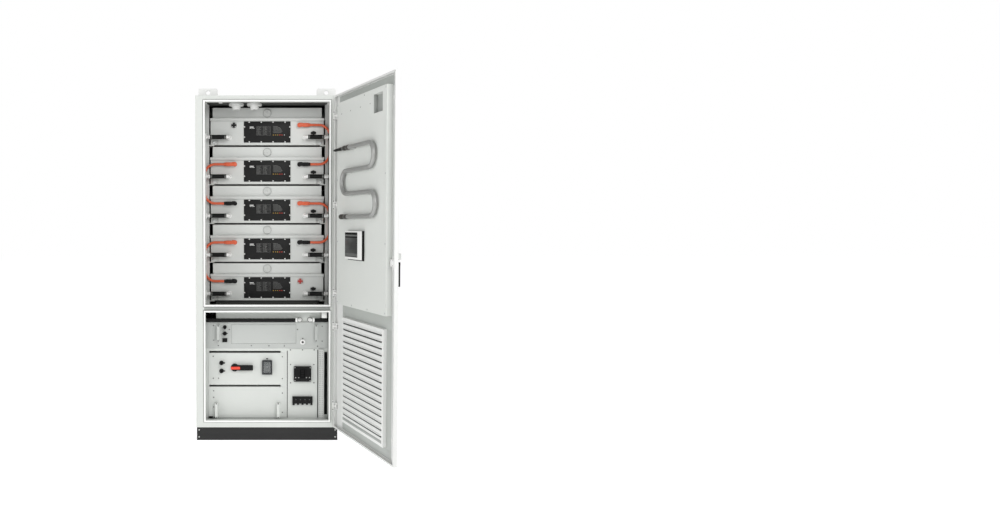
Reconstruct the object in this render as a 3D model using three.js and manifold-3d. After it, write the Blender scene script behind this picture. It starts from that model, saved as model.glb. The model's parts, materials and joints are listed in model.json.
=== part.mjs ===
// Floor-standing battery cabinet with five liquid-cooled packs, a control bay and one full-height door.
// Millimetres, +Z up. The front faces -Y, and the origin is on the underside of the plinth's middle beam.

import * as THREE from 'three';
import { mergeVertices } from 'three/addons/utils/BufferGeometryUtils.js';
import Module from 'manifold-3d';

const wasm = await Module();
wasm.setup();

// ---------------------------------------------------------------- driving dimensions

const FIT = 0.3; // clearance between pieces that meet
const EMBED = 2; // how far a welded or moulded-on piece runs into the body that carries it

const WIDTH = 960;
const DEPTH = 1300;
const HEIGHT = 2320;
const PLINTH_HEIGHT = 88;
const PLINTH_CHANNEL = 60;
const PLINTH_INSET = 4;
const FLOOR_THICKNESS = 5;

const FRAME_DEPTH = 30;
const POST_WIDTH = 65;
const HEADER_HEIGHT = 43;
const SILL_HEIGHT = 50;
const LOWER_BAY_HEIGHT = 732;
const MID_RAIL_HEIGHT = 51;
const LIP_WIDTH = 12;
const LIP_HEIGHT = 8;

const WALL = 20;
const WALL_SHEET = 3;
const CEILING_SHEET_DEPTH = 400;
const ROOF = 30;
const LUG = { width: 130, height: 58, plate: 10, foot: 70, hole: 14, inset: 15, setBack: 90 };

const PACK_COUNT = 5;
const PACK_SETBACK = 215; // pack fronts behind the frame's front face
const PACK_SIDE_SPACE = 88; // side of the cabinet to side of a tray
const PACK_REAR_SPACE = 45;
const PACK_FOOT_SPACE = 10;
const PACK_HEADROOM = 7;
const PACK_GAP = 12;
const FLANGE = { height: 18, proud: 4 };
const LID = { height: 74, sideInset: 13, frontInset: 20, wall: 4 };
const COVER = { sideInset: 230, bottom: 16, top: 4, thickness: 3 };
const SOCKET = { radius: 17, proud: 8, fromSide: 162, belowFlange: 30 };
const LEDGE = { thickness: 6, reach: 24 };
const RAIL_COLUMN = { width: 57, depth: 40, plate: 5 };

const LEAD_RADIUS = 9;
const LEAD_BEND = 72;
const LEAD_RUN_INSET = 48; // side of the cabinet to the lead's upright run
const PLUG = { length: 92, height: 31, depth: 28, tail: 6 };

const MAIN_PIPE_RADIUS = 14;
const MAIN_PIPE_INSET = 46;
const MAIN_PIPE_STANDOFF = 50; // pack fronts to the main pipes' axis
const TEE_RADIUS = 11;
const TEE_REACH = 24;
const HOSE_RADIUS = 15;
const HOSE_HEIGHT = 50; // above the tray's bottom
const HOSE_BEND = 34;
const HOSE_PORT_FROM_SIDE = 130;
const FEED_RADIUS = 12.5;
const FEED_SETBACK = 46;
const FEED_BEND = 40;
const FEED_BELOW_RAIL = 58;
const FEED_PORT_LEFT = 222;
const FEED_PORT_RIGHT = 292;
const BULKHEAD = { setBack: 75, thickness: 3, fromLeft: 132, fromRight: 116 };

const GLAND = { nutRadius: 51, nutHeight: 17, domeRadius: 29, domeHeight: 27, neckRadius: 34, neckHeight: 6 };
const GLAND_SETBACK = 120;
const GLAND_X = [-210, -86];

const PANEL_SETBACK = 62; // faces of the units in the lower bay
const SHEET = 3;
const UNIT_DEPTH = 520;
const CONTROL_HEIGHT = 180;
const CONTROL_GAP = 74; // between the control box and the mid rail
const SLOT_HEIGHT = 13.5;
const STRIP_HEIGHT = 17;
const DISCONNECT_HEIGHT = 219;
const UNITS_LEFT = 85; // side of the cabinet to the units' window
const UNITS_WINDOW = 487;
const UNIT_LAP_LEFT = 5;
const UNIT_LAP_RIGHT = 26;
const COLUMN = { gap: 49, width: 200, sill: 6 };
const DUCT = { gap: 9, width: 35, depth: 22 };
const SIDE_SLOT = { gap: 5, width: 20, margin: 24 };
const BREAKER = { width: 118, height: 104, depth: 22, below: 117, step: 6, faceWidth: 46 };
const TERMINALS = { width: 136, height: 46, depth: 18, below: 325, feet: 5, footWidth: 15, footHeight: 8 };
const PULL = { width: 18, reach: 38, thickness: 8 };
const CONTROL_PULL_HEIGHT = 109;
const BLANK_PULL_HEIGHT = 102;
const ROUND_PORT = { radius: 14, proud: 10 };
const SQUARE_PORT = { width: 32, height: 27, proud: 6 };
const ROTARY = { radius: 27, thickness: 27, leverReach: 125, leverHeight: 40, leverThickness: 18, fromLeft: 174 };
const ROTARY_BELOW = 99;
const FLIP = { width: 69, height: 98, depth: 22, wall: 2.5, fromLeft: 395, below: 47, axisOut: 3 };
const FLIP_DEVICE = { width: 44, height: 60, depth: 16 };

const DOOR_THICKNESS = 25;
const DOOR_SHEET = 3;
const DOOR_LIP = 12;
const PIN_INSET = 16.5; // hinge pin from the cabinet's side
const PIN_OUT = 25; // hinge pin from the frame's front face
const PIN_RADIUS = 4;
const DOOR_OPEN = THREE.MathUtils.degToRad(105.8);
const DOOR_END_GAP = 4;
const HINGE = { height: 72, eye: 12, armHeight: 12, armWidth: 9, baseWidth: 24, window: 26, clear: 0.4 };
const HINGE_HEIGHTS = [237, 777, 1000, 1591, 2183];
const INNER = { face: 30, hingeInset: 103.5, freeInset: 75, foot: 19, head: 29 };
const POCKET = { width: 131, height: 110, depth: 26, fromFree: 57, fromTop: 32 };
const DOOR_LOUVRE = { hingeInset: 151.5, freeInset: 143.5, foot: 30, head: 14, slots: 16, slotHeight: 17 };
const LOUVRE_MARGIN = { side: 22, top: 34, bottom: 60 };
const DOOR_PIPE = { radius: 14, bend: 72, fromHinge: 123, fromFree: 124, fromFreeLow: 100, fromTop: 306, standOff: 6 };
const DOOR_PIPE_ENDS = { upper: 82, lower: 205, fittingRadius: 17, fittingLength: 122, studRadius: 6 };
const DISPLAY = { width: 303, height: 183, depth: 34, fromHinge: 168, fromFoot: 299 };
const HANDLE = { fromFree: 34, height: 1244, plateWidth: 38, plate: 8, above: 67, below: 144 };
const LOCK_BLOCK = { bottom: 22, depth: 24 };
const LEVER = { width: 28, thickness: 12, length: 134, gap: 1.5, slot: 15, hubRadius: 5.5 };
const SPINDLE_RADIUS = 4;
const CAM = { radius: 11.5, thickness: 6 };
const ROD = { width: 8, thickness: 6, topInset: 54, bottomInset: 55, clearance: 30, rack: 22 };
const GUIDE = { height: 16, wall: 3, fromEnd: 85 };

// ---------------------------------------------------------------- derived places

const FRONT = -DEPTH / 2;
const BACK = DEPTH / 2;
const SIDE = WIDTH / 2;
const OPEN_HALF = SIDE - POST_WIDTH;
const FRAME_FOOT = PLINTH_HEIGHT + FIT;
const LOWER_BOTTOM = PLINTH_HEIGHT + SILL_HEIGHT;
const LOWER_TOP = LOWER_BOTTOM + LOWER_BAY_HEIGHT;
const UPPER_BOTTOM = LOWER_TOP + MID_RAIL_HEIGHT;
const UPPER_TOP = HEIGHT - HEADER_HEIGHT;
const CEILING = HEIGHT - ROOF;
const WALL_INNER = SIDE - WALL;
const BEHIND_FRAME = FRONT + FRAME_DEPTH + FIT;
const DIVIDER_Z = LOWER_TOP + MID_RAIL_HEIGHT / 3;

const PACK_PITCH = (UPPER_TOP - PACK_HEADROOM + PACK_GAP - UPPER_BOTTOM - PACK_FOOT_SPACE) / PACK_COUNT;
const TRAY_HEIGHT = PACK_PITCH - PACK_GAP - LID.height - FLANGE.height;
const TRAY_HALF = SIDE - PACK_SIDE_SPACE;
const PACK_FRONT = FRONT + PACK_SETBACK;
const PACK_BACK = BACK - WALL - PACK_REAR_SPACE;
const packBottom = (index) => UPPER_BOTTOM + PACK_FOOT_SPACE + index * PACK_PITCH;

// ---------------------------------------------------------------- finishes

const finish = (color, roughness, metalness = 0) => ({ color, roughness, metalness });
const GREY_COAT = finish('#dededc', 0.55, 0.1);
const INNER_COAT = finish('#d2d4d1', 0.5, 0.1);
const PLINTH_COAT = finish('#343434', 0.6, 0.1);
const ZINC = finish('#b9bcbd', 0.4, 0.8);
const PACK_CASE = finish('#c9cccb', 0.45, 0.5);
const PACK_LID = finish('#cfd2d0', 0.5, 0.2);
const BLACK_PLASTIC = finish('#262626', 0.55);
const ORANGE_LEAD = finish('#e0704a', 0.5);
const BLACK_RUBBER = finish('#1a1a1a', 0.7);
const PIPE_GREY = finish('#b0b1af', 0.45, 0.3);
const CLEAR_COVER = finish('#8d9192', 0.2);
const SCREEN_HOUSING = finish('#343434', 0.4);

// ---------------------------------------------------------------- shape helpers

const box = (x0, x1, y0, y1, z0, z1) =>
  new THREE.BoxGeometry(x1 - x0, y1 - y0, z1 - z0).translate((x0 + x1) / 2, (y0 + y1) / 2, (z0 + z1) / 2);

const AXIS_TURN = {
  x: (g) => g.rotateZ(-Math.PI / 2),
  y: (g) => g,
  z: (g) => g.rotateX(Math.PI / 2),
};

// A cylinder from the given start along +X, +Y or +Z.
function rod(axis, radius, start, length, sides = 20) {
  const shape = new THREE.CylinderGeometry(radius, radius, length, sides).translate(0, length / 2, 0);
  return AXIS_TURN[axis](shape).translate(...start);
}

// A path through the given points only, so that a straight run is a single step.
class Route extends THREE.Curve {
  constructor(stops) {
    super();
    this.stops = stops;
  }

  getPointAt(t) {
    return this.stops[Math.round(t * (this.stops.length - 1))].clone();
  }

  getTangentAt(t) {
    const last = this.stops.length - 1;
    const here = Math.round(t * last);
    const into = this.stops[here].clone().sub(this.stops[Math.max(here - 1, 0)]).normalize();
    const out = this.stops[Math.min(here + 1, last)].clone().sub(this.stops[here]).normalize();
    return into.add(out).normalize();
  }
}

// Corners as [point, bend radius] give the stops of a path with a round bend at each corner.
function bentRoute(corners, bendSteps = 5) {
  const stops = [corners[0][0]];
  for (let i = 1; i < corners.length - 1; i += 1) {
    const [corner, radius] = corners[i];
    const back = corners[i - 1][0].clone().sub(corner).normalize();
    const on = corners[i + 1][0].clone().sub(corner).normalize();
    const halfAngle = back.angleTo(on) / 2;
    const middle = back.clone().add(on).normalize().multiplyScalar(radius / Math.sin(halfAngle)).add(corner);
    const reach = radius / Math.tan(halfAngle);
    const from = back.multiplyScalar(reach).add(corner).sub(middle);
    const to = on.multiplyScalar(reach).add(corner).sub(middle);
    const sweep = Math.PI - 2 * halfAngle;
    for (let step = 0; step <= bendSteps; step += 1) {
      const part = (step / bendSteps) * sweep;
      stops.push(from.clone().multiplyScalar(Math.sin(sweep - part) / Math.sin(sweep))
        .addScaledVector(to, Math.sin(part) / Math.sin(sweep)).add(middle));
    }
  }
  stops.push(corners[corners.length - 1][0]);
  return stops.filter((stop, i) => i === 0 || stop.distanceTo(stops[i - 1]) > 0.01);
}

function tube(corners, radius, sides = 10, bendSteps = 5) {
  const stops = bentRoute(corners, bendSteps);
  const section = new THREE.Shape();
  section.absarc(0, 0, radius, 0, Math.PI * 2);
  return new THREE.ExtrudeGeometry(section, {
    extrudePath: new Route(stops),
    steps: stops.length - 1,
    bevelEnabled: false,
    curveSegments: sides / 2,
  });
}

// An outline given in X and Z, extruded from y0 to y1.
function plateXZ(outline, y0, y1, curveSegments = 6) {
  const shape = outline instanceof THREE.Shape ? outline : new THREE.Shape(outline);
  return new THREE.ExtrudeGeometry(shape, { depth: y1 - y0, bevelEnabled: false, curveSegments })
    .rotateX(Math.PI / 2)
    .translate(0, y1, 0);
}

// An outline given in X and Y, extruded from z0 to z1.
function plateXY(outline, z0, z1, curveSegments = 8) {
  const shape = outline instanceof THREE.Shape ? outline : new THREE.Shape(outline);
  return new THREE.ExtrudeGeometry(shape, { depth: z1 - z0, bevelEnabled: false, curveSegments })
    .translate(0, 0, z0);
}

const points2 = (...pairs) => pairs.map(([a, b]) => new THREE.Vector2(a, b));
const vec = (x, y, z) => new THREE.Vector3(x, y, z);

function toSolid(geometry) {
  const bare = geometry.index ? geometry.toNonIndexed() : geometry.clone();
  for (const name of Object.keys(bare.attributes)) {
    if (name !== 'position') bare.deleteAttribute(name);
  }
  const merged = mergeVertices(bare, 1e-4);
  return new wasm.Manifold(new wasm.Mesh({
    numProp: 3,
    vertProperties: new Float32Array(merged.attributes.position.array),
    triVerts: new Uint32Array(merged.index.array),
  }));
}

function toGeometry(solid) {
  const mesh = solid.getMesh();
  const geometry = new THREE.BufferGeometry();
  geometry.setAttribute('position', new THREE.BufferAttribute(new Float32Array(mesh.vertProperties), 3));
  geometry.setIndex(new THREE.BufferAttribute(new Uint32Array(mesh.triVerts), 1));
  return geometry;
}

// Joins the first list and takes the second away from it.
function carve(joined, removed = []) {
  let solid = toSolid(joined[0]);
  for (const piece of joined.slice(1)) solid = solid.add(toSolid(piece));
  for (const piece of removed) solid = solid.subtract(toSolid(piece));
  return toGeometry(solid);
}

const cabinet = new THREE.Group();
cabinet.name = 'battery_cabinet';

function place(parent, name, geometry, look) {
  const mesh = new THREE.Mesh(geometry, new THREE.MeshStandardMaterial(look));
  mesh.name = name;
  parent.add(mesh);
}

// ---------------------------------------------------------------- plinth, frame and walls

function plinth() {
  const half = SIDE - PLINTH_INSET;
  const front = FRONT + PLINTH_INSET;
  const back = BACK - PLINTH_INSET;
  const bayHalfY = (back - PLINTH_CHANNEL - PLINTH_CHANNEL / 2) / 2;
  const bayMidY = bayHalfY + PLINTH_CHANNEL / 2;
  const bays = [-1, 1].map((end) => box(
    -half + PLINTH_CHANNEL, half - PLINTH_CHANNEL,
    end * bayMidY - bayHalfY, end * bayMidY + bayHalfY,
    -1, PLINTH_HEIGHT - FLOOR_THICKNESS,
  ));
  return carve([box(-half, half, front, back, 0, PLINTH_HEIGHT)], bays);
}

const lipBlock = (z0, z1) => box(
  -OPEN_HALF - LIP_WIDTH, OPEN_HALF + LIP_WIDTH, FRONT - LIP_HEIGHT, FRONT + EMBED, z0 - LIP_WIDTH, z1 + LIP_WIDTH,
);

function frontFrame() {
  const body = box(-SIDE, SIDE, FRONT, FRONT + FRAME_DEPTH, FRAME_FOOT, HEIGHT);
  const openings = [[LOWER_BOTTOM, LOWER_TOP], [UPPER_BOTTOM, UPPER_TOP]];
  const holes = openings.map(([z0, z1]) =>
    box(-OPEN_HALF, OPEN_HALF, FRONT - 2 * LIP_HEIGHT, FRONT + 2 * FRAME_DEPTH, z0, z1));
  return carve([body, ...openings.map(([z0, z1]) => lipBlock(z0, z1))], holes);
}

function lug(side, end) {
  const y = end * (BACK - LUG.setBack);
  const x0 = SIDE - LUG.inset - LUG.width;
  const x1 = SIDE - LUG.inset;
  const z = HEIGHT + FIT;
  const outline = new THREE.Shape(points2([x0, z], [x1, z], [x1, z + LUG.height - 12]));
  outline.absarc(x1 - 12, z + LUG.height - 12, 12, 0, Math.PI / 2);
  outline.absarc(x0 + 12, z + LUG.height - 12, 12, Math.PI / 2, Math.PI);
  const plate = plateXZ(outline, y - LUG.plate / 2, y + LUG.plate / 2);
  const inward = -end;
  const foot = box(x0, x1, Math.min(y, y + inward * LUG.foot), Math.max(y, y + inward * LUG.foot), z, z + 8);
  const hole = rod('y', LUG.hole, [(x0 + x1) / 2, y - LUG.plate, z + LUG.height - 28], 2 * LUG.plate, 20);
  const shape = carve([plate, foot], [hole]);
  return side > 0 ? shape : mirrored(shape);
}

// A copy mirrored in X, with its faces turned back outwards.
function mirrored(geometry) {
  const copy = geometry.clone().scale(-1, 1, 1);
  const index = copy.index.array;
  for (let i = 0; i < index.length; i += 3) {
    [index[i + 1], index[i + 2]] = [index[i + 2], index[i + 1]];
  }
  return copy;
}

place(cabinet, 'plinth', plinth(), PLINTH_COAT);
place(cabinet, 'front_frame', frontFrame(), INNER_COAT);

// The walls are folded pans that open towards the inside of the cabinet.
function sidePanel() {
  const y1 = BACK - WALL - FIT;
  const z1 = CEILING - FIT;
  const hollow = box(
    -SIDE + WALL_SHEET, -WALL_INNER + 1, BEHIND_FRAME + WALL_SHEET, y1 - WALL_SHEET,
    FRAME_FOOT + WALL_SHEET, z1 - WALL_SHEET,
  );
  return carve([box(-SIDE, -WALL_INNER, BEHIND_FRAME, y1, FRAME_FOOT, z1)], [hollow]);
}
const leftPanel = sidePanel();
place(cabinet, 'side_panel_left', leftPanel, GREY_COAT);
place(cabinet, 'side_panel_right', mirrored(leftPanel), GREY_COAT);

function rearPanel() {
  const z1 = CEILING - FIT;
  const hollow = box(
    -SIDE + WALL_SHEET, SIDE - WALL_SHEET, BACK - WALL - 1, BACK - WALL_SHEET,
    FRAME_FOOT + WALL_SHEET, z1 - WALL_SHEET,
  );
  return carve([box(-SIDE, SIDE, BACK - WALL, BACK, FRAME_FOOT, z1)], [hollow]);
}
place(cabinet, 'rear_panel', rearPanel(), GREY_COAT);

// The roof has a ceiling sheet over the front of the bay, which carries the cable glands.
function roofPanel() {
  const hollow = box(
    -SIDE + WALL_SHEET, SIDE - WALL_SHEET, BEHIND_FRAME + WALL_SHEET, BACK - WALL_SHEET,
    CEILING - 1, HEIGHT - WALL_SHEET,
  );
  const shell = toSolid(box(-SIDE, SIDE, BEHIND_FRAME, BACK, CEILING, HEIGHT)).subtract(toSolid(hollow));
  const ceiling = box(
    -SIDE + 1, SIDE - 1, BEHIND_FRAME + 1, FRONT + CEILING_SHEET_DEPTH, CEILING, CEILING + WALL_SHEET,
  );
  return toGeometry(shell.add(toSolid(ceiling)));
}
place(cabinet, 'roof_panel', roofPanel(), GREY_COAT);
for (const [name, side, end] of [
  ['front_left', -1, -1], ['front_right', 1, -1], ['rear_left', -1, 1], ['rear_right', 1, 1],
]) {
  place(cabinet, `lifting_lug_${name}`, lug(side, end), GREY_COAT);
}

function bayDivider() {
  const shelf = box(-WALL_INNER + FIT, WALL_INNER - FIT, BEHIND_FRAME, BACK - WALL - FIT, DIVIDER_Z, DIVIDER_Z + SHEET);
  const bulkheadTop = DIVIDER_Z + SHEET / 2;
  const bulkhead = box(
    -SIDE + BULKHEAD.fromLeft, SIDE - BULKHEAD.fromRight,
    FRONT + BULKHEAD.setBack, FRONT + BULKHEAD.setBack + BULKHEAD.thickness,
    LOWER_TOP - CONTROL_GAP + FIT, bulkheadTop,
  );
  const pipeHoles = [-1, 1].map((side) => rod(
    'z', MAIN_PIPE_RADIUS + 3,
    [side * (SIDE - MAIN_PIPE_INSET), PACK_FRONT - MAIN_PIPE_STANDOFF, DIVIDER_Z - SHEET],
    3 * SHEET, 16,
  ));
  return carve([shelf, bulkhead], pipeHoles);
}
place(cabinet, 'bay_divider', bayDivider(), INNER_COAT);

// ---------------------------------------------------------------- packs and their rails

// The left rail: a column, a side plate and one ledge under each tray.
function packRail() {
  const wallX = -WALL_INNER + FIT;
  const ledgeEnd = -TRAY_HALF + LEDGE.reach;
  const foot = DIVIDER_Z + SHEET + FIT;
  const head = CEILING - FIT;
  const column = box(
    wallX, wallX + RAIL_COLUMN.width, PACK_FRONT, PACK_FRONT + RAIL_COLUMN.depth, foot, head,
  );
  const plate = box(wallX, wallX + RAIL_COLUMN.plate, PACK_FRONT, PACK_BACK, foot, head);
  const ledges = [];
  for (let index = 0; index < PACK_COUNT; index += 1) {
    const top = packBottom(index) - FIT;
    ledges.push(box(wallX, ledgeEnd, PACK_FRONT + EMBED, PACK_BACK, top - LEDGE.thickness, top));
  }
  return carve([column, plate, ...ledges]);
}
const leftRail = packRail();
place(cabinet, 'pack_rail_left', leftRail, INNER_COAT);
place(cabinet, 'pack_rail_right', mirrored(leftRail), INNER_COAT);

function packTray(bottom) {
  const flangeZ = bottom + TRAY_HEIGHT;
  const body = box(-TRAY_HALF, TRAY_HALF, PACK_FRONT, PACK_BACK, bottom, flangeZ + EMBED);
  const flange = box(
    -TRAY_HALF - FLANGE.proud, TRAY_HALF + FLANGE.proud, PACK_FRONT - FLANGE.proud, PACK_BACK,
    flangeZ, flangeZ + FLANGE.height,
  );
  const sockets = [-1, 1].map((side) => rod(
    'y', SOCKET.radius,
    [side * (TRAY_HALF - SOCKET.fromSide), PACK_FRONT - SOCKET.proud, flangeZ - SOCKET.belowFlange],
    SOCKET.proud + EMBED, 16,
  ));
  return carve([body, flange, ...sockets]);
}

function packLid(bottom) {
  const z0 = bottom + TRAY_HEIGHT + FLANGE.height + FIT;
  const z1 = bottom + TRAY_HEIGHT + FLANGE.height + LID.height;
  const half = TRAY_HALF - LID.sideInset;
  const y0 = PACK_FRONT + LID.frontInset;
  const hollow = box(
    -half + LID.wall, half - LID.wall, y0 + LID.wall, PACK_BACK - LID.wall, z0 - EMBED, z1 - LID.wall,
  );
  const ventRadius = 27;
  const vent = rod('y', ventRadius, [0, y0 - LID.wall, (z0 + z1) / 2], LID.wall + EMBED, 20);
  return carve([box(-half, half, y0, PACK_BACK, z0, z1), vent], [hollow]);
}

function packCover(bottom) {
  const half = TRAY_HALF - COVER.sideInset;
  const y1 = PACK_FRONT - FIT;
  return box(-half, half, y1 - COVER.thickness, y1, bottom + COVER.bottom, bottom + TRAY_HEIGHT - COVER.top);
}

// Packs are numbered from the top.
for (let index = 0; index < PACK_COUNT; index += 1) {
  const bottom = packBottom(PACK_COUNT - 1 - index);
  const name = `pack_${index + 1}`;
  place(cabinet, `${name}_tray`, packTray(bottom), PACK_CASE);
  place(cabinet, `${name}_lid`, packLid(bottom), PACK_LID);
  place(cabinet, `${name}_cover`, packCover(bottom), BLACK_PLASTIC);
}

// ---------------------------------------------------------------- high-voltage leads

// A lead between two packs, one above the other, with a plug moulded on each end.
// It is drawn on the left; the right-hand leads are its mirror image.
function lead(upperBottom, lowerBottom) {
  const y = PACK_FRONT - SOCKET.proud - FIT - PLUG.depth / 2;
  const socketX = -TRAY_HALF + SOCKET.fromSide;
  const plugEnd = socketX + SOCKET.radius + PLUG.tail;
  const plugStart = plugEnd - PLUG.length;
  const runX = -SIDE + LEAD_RUN_INSET;
  const drop = TRAY_HEIGHT - SOCKET.belowFlange;
  const top = upperBottom + drop;
  const low = lowerBottom + drop;
  const route = [
    [vec(plugStart + EMBED, y, top)],
    [vec(runX, y, top), LEAD_BEND],
    [vec(runX, y, low), LEAD_BEND],
    [vec(plugStart + EMBED, y, low)],
  ];
  const plugs = [top, low].map((z) => box(
    plugStart, plugEnd, y - PLUG.depth / 2, y + PLUG.depth / 2, z - PLUG.height / 2, z + PLUG.height / 2,
  ));
  return carve([tube(route, LEAD_RADIUS), ...plugs]);
}

const packFromTop = (number) => packBottom(PACK_COUNT - number);
place(cabinet, 'hv_lead_1_2', mirrored(lead(packFromTop(1), packFromTop(2))), ORANGE_LEAD);
place(cabinet, 'hv_lead_2_3', lead(packFromTop(2), packFromTop(3)), ORANGE_LEAD);
place(cabinet, 'hv_lead_3_4', mirrored(lead(packFromTop(3), packFromTop(4))), ORANGE_LEAD);
place(cabinet, 'hv_lead_4_5', lead(packFromTop(4), packFromTop(5)), ORANGE_LEAD);

// ---------------------------------------------------------------- coolant pipes

// The left-hand coolant set: upright main pipe, a tee, hose and elbow for each pack, and the feed hose.
function coolantSet(feedPortX) {
  const pipeX = -SIDE + MAIN_PIPE_INSET;
  const pipeY = PACK_FRONT - MAIN_PIPE_STANDOFF;
  const feedZ = LOWER_TOP - FEED_BELOW_RAIL;
  const foot = LOWER_TOP - MAIN_PIPE_RADIUS;
  const head = packBottom(PACK_COUNT - 1) + HOSE_HEIGHT + 2 * TEE_RADIUS;
  const teeEnd = pipeX + MAIN_PIPE_RADIUS + TEE_REACH;
  const portX = -TRAY_HALF + HOSE_PORT_FROM_SIDE;
  const pieces = [rod('z', MAIN_PIPE_RADIUS, [pipeX, pipeY, foot], head - foot, 16)];
  for (let index = 0; index < PACK_COUNT; index += 1) {
    const z = packBottom(index) + HOSE_HEIGHT;
    const route = [
      [vec(teeEnd - EMBED, pipeY, z)], [vec(portX, pipeY, z), HOSE_BEND], [vec(portX, PACK_FRONT - FIT, z)],
    ];
    pieces.push(rod('x', TEE_RADIUS, [pipeX, pipeY, z], teeEnd - pipeX, 12));
    pieces.push(tube(route, HOSE_RADIUS, 10, 3));
  }
  const feedY = FRONT + FEED_SETBACK;
  const bulkheadY = FRONT + BULKHEAD.setBack - FIT;
  const feed = [
    [vec(pipeX, pipeY, foot + MAIN_PIPE_RADIUS)],
    [vec(pipeX, pipeY, feedZ), FEED_BEND],
    [vec(pipeX, feedY, feedZ), FEED_BEND],
    [vec(feedPortX, feedY, feedZ), FEED_RADIUS + 1],
    [vec(feedPortX, bulkheadY, feedZ)],
  ];
  pieces.push(tube(feed, FEED_RADIUS, 10, 4));
  return carve(pieces);
}
place(cabinet, 'coolant_set_left', coolantSet(FEED_PORT_LEFT), BLACK_RUBBER);
place(cabinet, 'coolant_set_right', mirrored(coolantSet(-FEED_PORT_RIGHT)), BLACK_RUBBER);

function gland(x) {
  const y = FRONT + GLAND_SETBACK;
  const top = CEILING - FIT;
  const nutTop = top - GLAND.neckHeight;
  const domeTop = nutTop - GLAND.nutHeight;
  return carve([
    rod('z', GLAND.neckRadius, [x, y, nutTop - EMBED], GLAND.neckHeight + EMBED, 20),
    rod('z', GLAND.nutRadius, [x, y, domeTop], GLAND.nutHeight, 24),
    rod('z', GLAND.domeRadius, [x, y, domeTop - GLAND.domeHeight], GLAND.domeHeight + EMBED, 20),
  ]);
}
GLAND_X.forEach((x, i) => place(cabinet, `cable_gland_${i + 1}`, gland(x), ZINC));

// ---------------------------------------------------------------- units in the lower bay

const PANEL_FRONT = FRONT + PANEL_SETBACK;
const PANEL_BACK = PANEL_FRONT + SHEET;
const CONTROL_TOP = LOWER_TOP - CONTROL_GAP;
const CONTROL_BOTTOM = CONTROL_TOP - CONTROL_HEIGHT;
const PLATE_TOP = CONTROL_BOTTOM - FIT;
const WINDOW_TOP = PLATE_TOP - STRIP_HEIGHT;
const DISCONNECT_TOP = WINDOW_TOP - SLOT_HEIGHT;
const DISCONNECT_BOTTOM = DISCONNECT_TOP - DISCONNECT_HEIGHT;
const BLANK_TOP = DISCONNECT_BOTTOM - SLOT_HEIGHT;
const BLANK_BOTTOM = LOWER_BOTTOM;
const PLATE_BOTTOM = PLINTH_HEIGHT + 10;
const WINDOW_LEFT = -SIDE + UNITS_LEFT;
const WINDOW_RIGHT = WINDOW_LEFT + UNITS_WINDOW;
const COLUMN_LEFT = WINDOW_RIGHT + COLUMN.gap;
const COLUMN_RIGHT = COLUMN_LEFT + COLUMN.width;
const DUCT_LEFT = COLUMN_RIGHT + DUCT.gap;
const DUCT_RIGHT = DUCT_LEFT + DUCT.width;
const SLOT_LEFT = DUCT_RIGHT + SIDE_SLOT.gap;

// A front panel with a chassis behind it that is open at the back.
function unit(x0, x1, z0, z1, chassisX0, chassisX1, extras = [], cuts = []) {
  const panel = box(x0, x1, PANEL_FRONT, PANEL_BACK, z0, z1);
  const wall = SHEET;
  const back = PANEL_BACK + UNIT_DEPTH;
  const chassis = box(chassisX0, chassisX1, PANEL_BACK - 1, back, z0 + wall, z1 - wall);
  const inside = box(
    chassisX0 + wall, chassisX1 - wall, PANEL_BACK, back + 1, z0 + 2 * wall, z1 - 2 * wall,
  );
  return carve([panel, chassis, ...extras], [inside, ...cuts]);
}

// A bow handle standing out of a panel.
function pullHandle(x, z0, z1) {
  const y0 = PANEL_FRONT - PULL.reach;
  const bow = box(x - PULL.width / 2, x + PULL.width / 2, y0, PANEL_FRONT + 1, z0, z1);
  const grip = box(
    x - PULL.width, x + PULL.width, y0 + PULL.thickness, PANEL_FRONT, z0 + PULL.thickness, z1 - PULL.thickness,
  );
  return carve([bow], [grip]);
}

const roundPort = (x, z) =>
  rod('y', ROUND_PORT.radius, [x, PANEL_FRONT - ROUND_PORT.proud, z], ROUND_PORT.proud + 1, 16);

const CONTROL_PULL_X = SIDE - 148;
const CONTROL_PORT_X = -SIDE + 192;
const controlPulls = [-1, 1].map((side) =>
  pullHandle(side * CONTROL_PULL_X, CONTROL_BOTTOM + 54, CONTROL_BOTTOM + 54 + CONTROL_PULL_HEIGHT));
place(cabinet, 'control_box', unit(
  -WALL_INNER + FIT, WALL_INNER - FIT, CONTROL_BOTTOM, CONTROL_TOP,
  WINDOW_LEFT, -WINDOW_LEFT,
  [
    ...controlPulls,
    roundPort(CONTROL_PORT_X, CONTROL_TOP - 33),
    roundPort(CONTROL_PORT_X, CONTROL_TOP - 76),
    box(
      CONTROL_PORT_X - SQUARE_PORT.width / 2, CONTROL_PORT_X + SQUARE_PORT.width / 2,
      PANEL_FRONT - SQUARE_PORT.proud, PANEL_FRONT + 1,
      CONTROL_TOP - 122 - SQUARE_PORT.height / 2, CONTROL_TOP - 122 + SQUARE_PORT.height / 2,
    ),
  ],
), INNER_COAT);

function unitFrame() {
  const y0 = PANEL_BACK + FIT;
  const plate = box(-WALL_INNER + FIT, WALL_INNER - FIT, y0, y0 + SHEET, PLATE_BOTTOM, PLATE_TOP);
  const window = box(WINDOW_LEFT, WINDOW_RIGHT, y0 - 1, y0 + 2 * SHEET, BLANK_BOTTOM - 4, WINDOW_TOP);
  const slot = box(
    SLOT_LEFT, SLOT_LEFT + SIDE_SLOT.width, y0 - 1, y0 + 2 * SHEET,
    LOWER_BOTTOM + SIDE_SLOT.margin, PLATE_TOP - SIDE_SLOT.margin,
  );
  return carve([plate], [window, slot]);
}
place(cabinet, 'unit_frame', unitFrame(), INNER_COAT);

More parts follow.
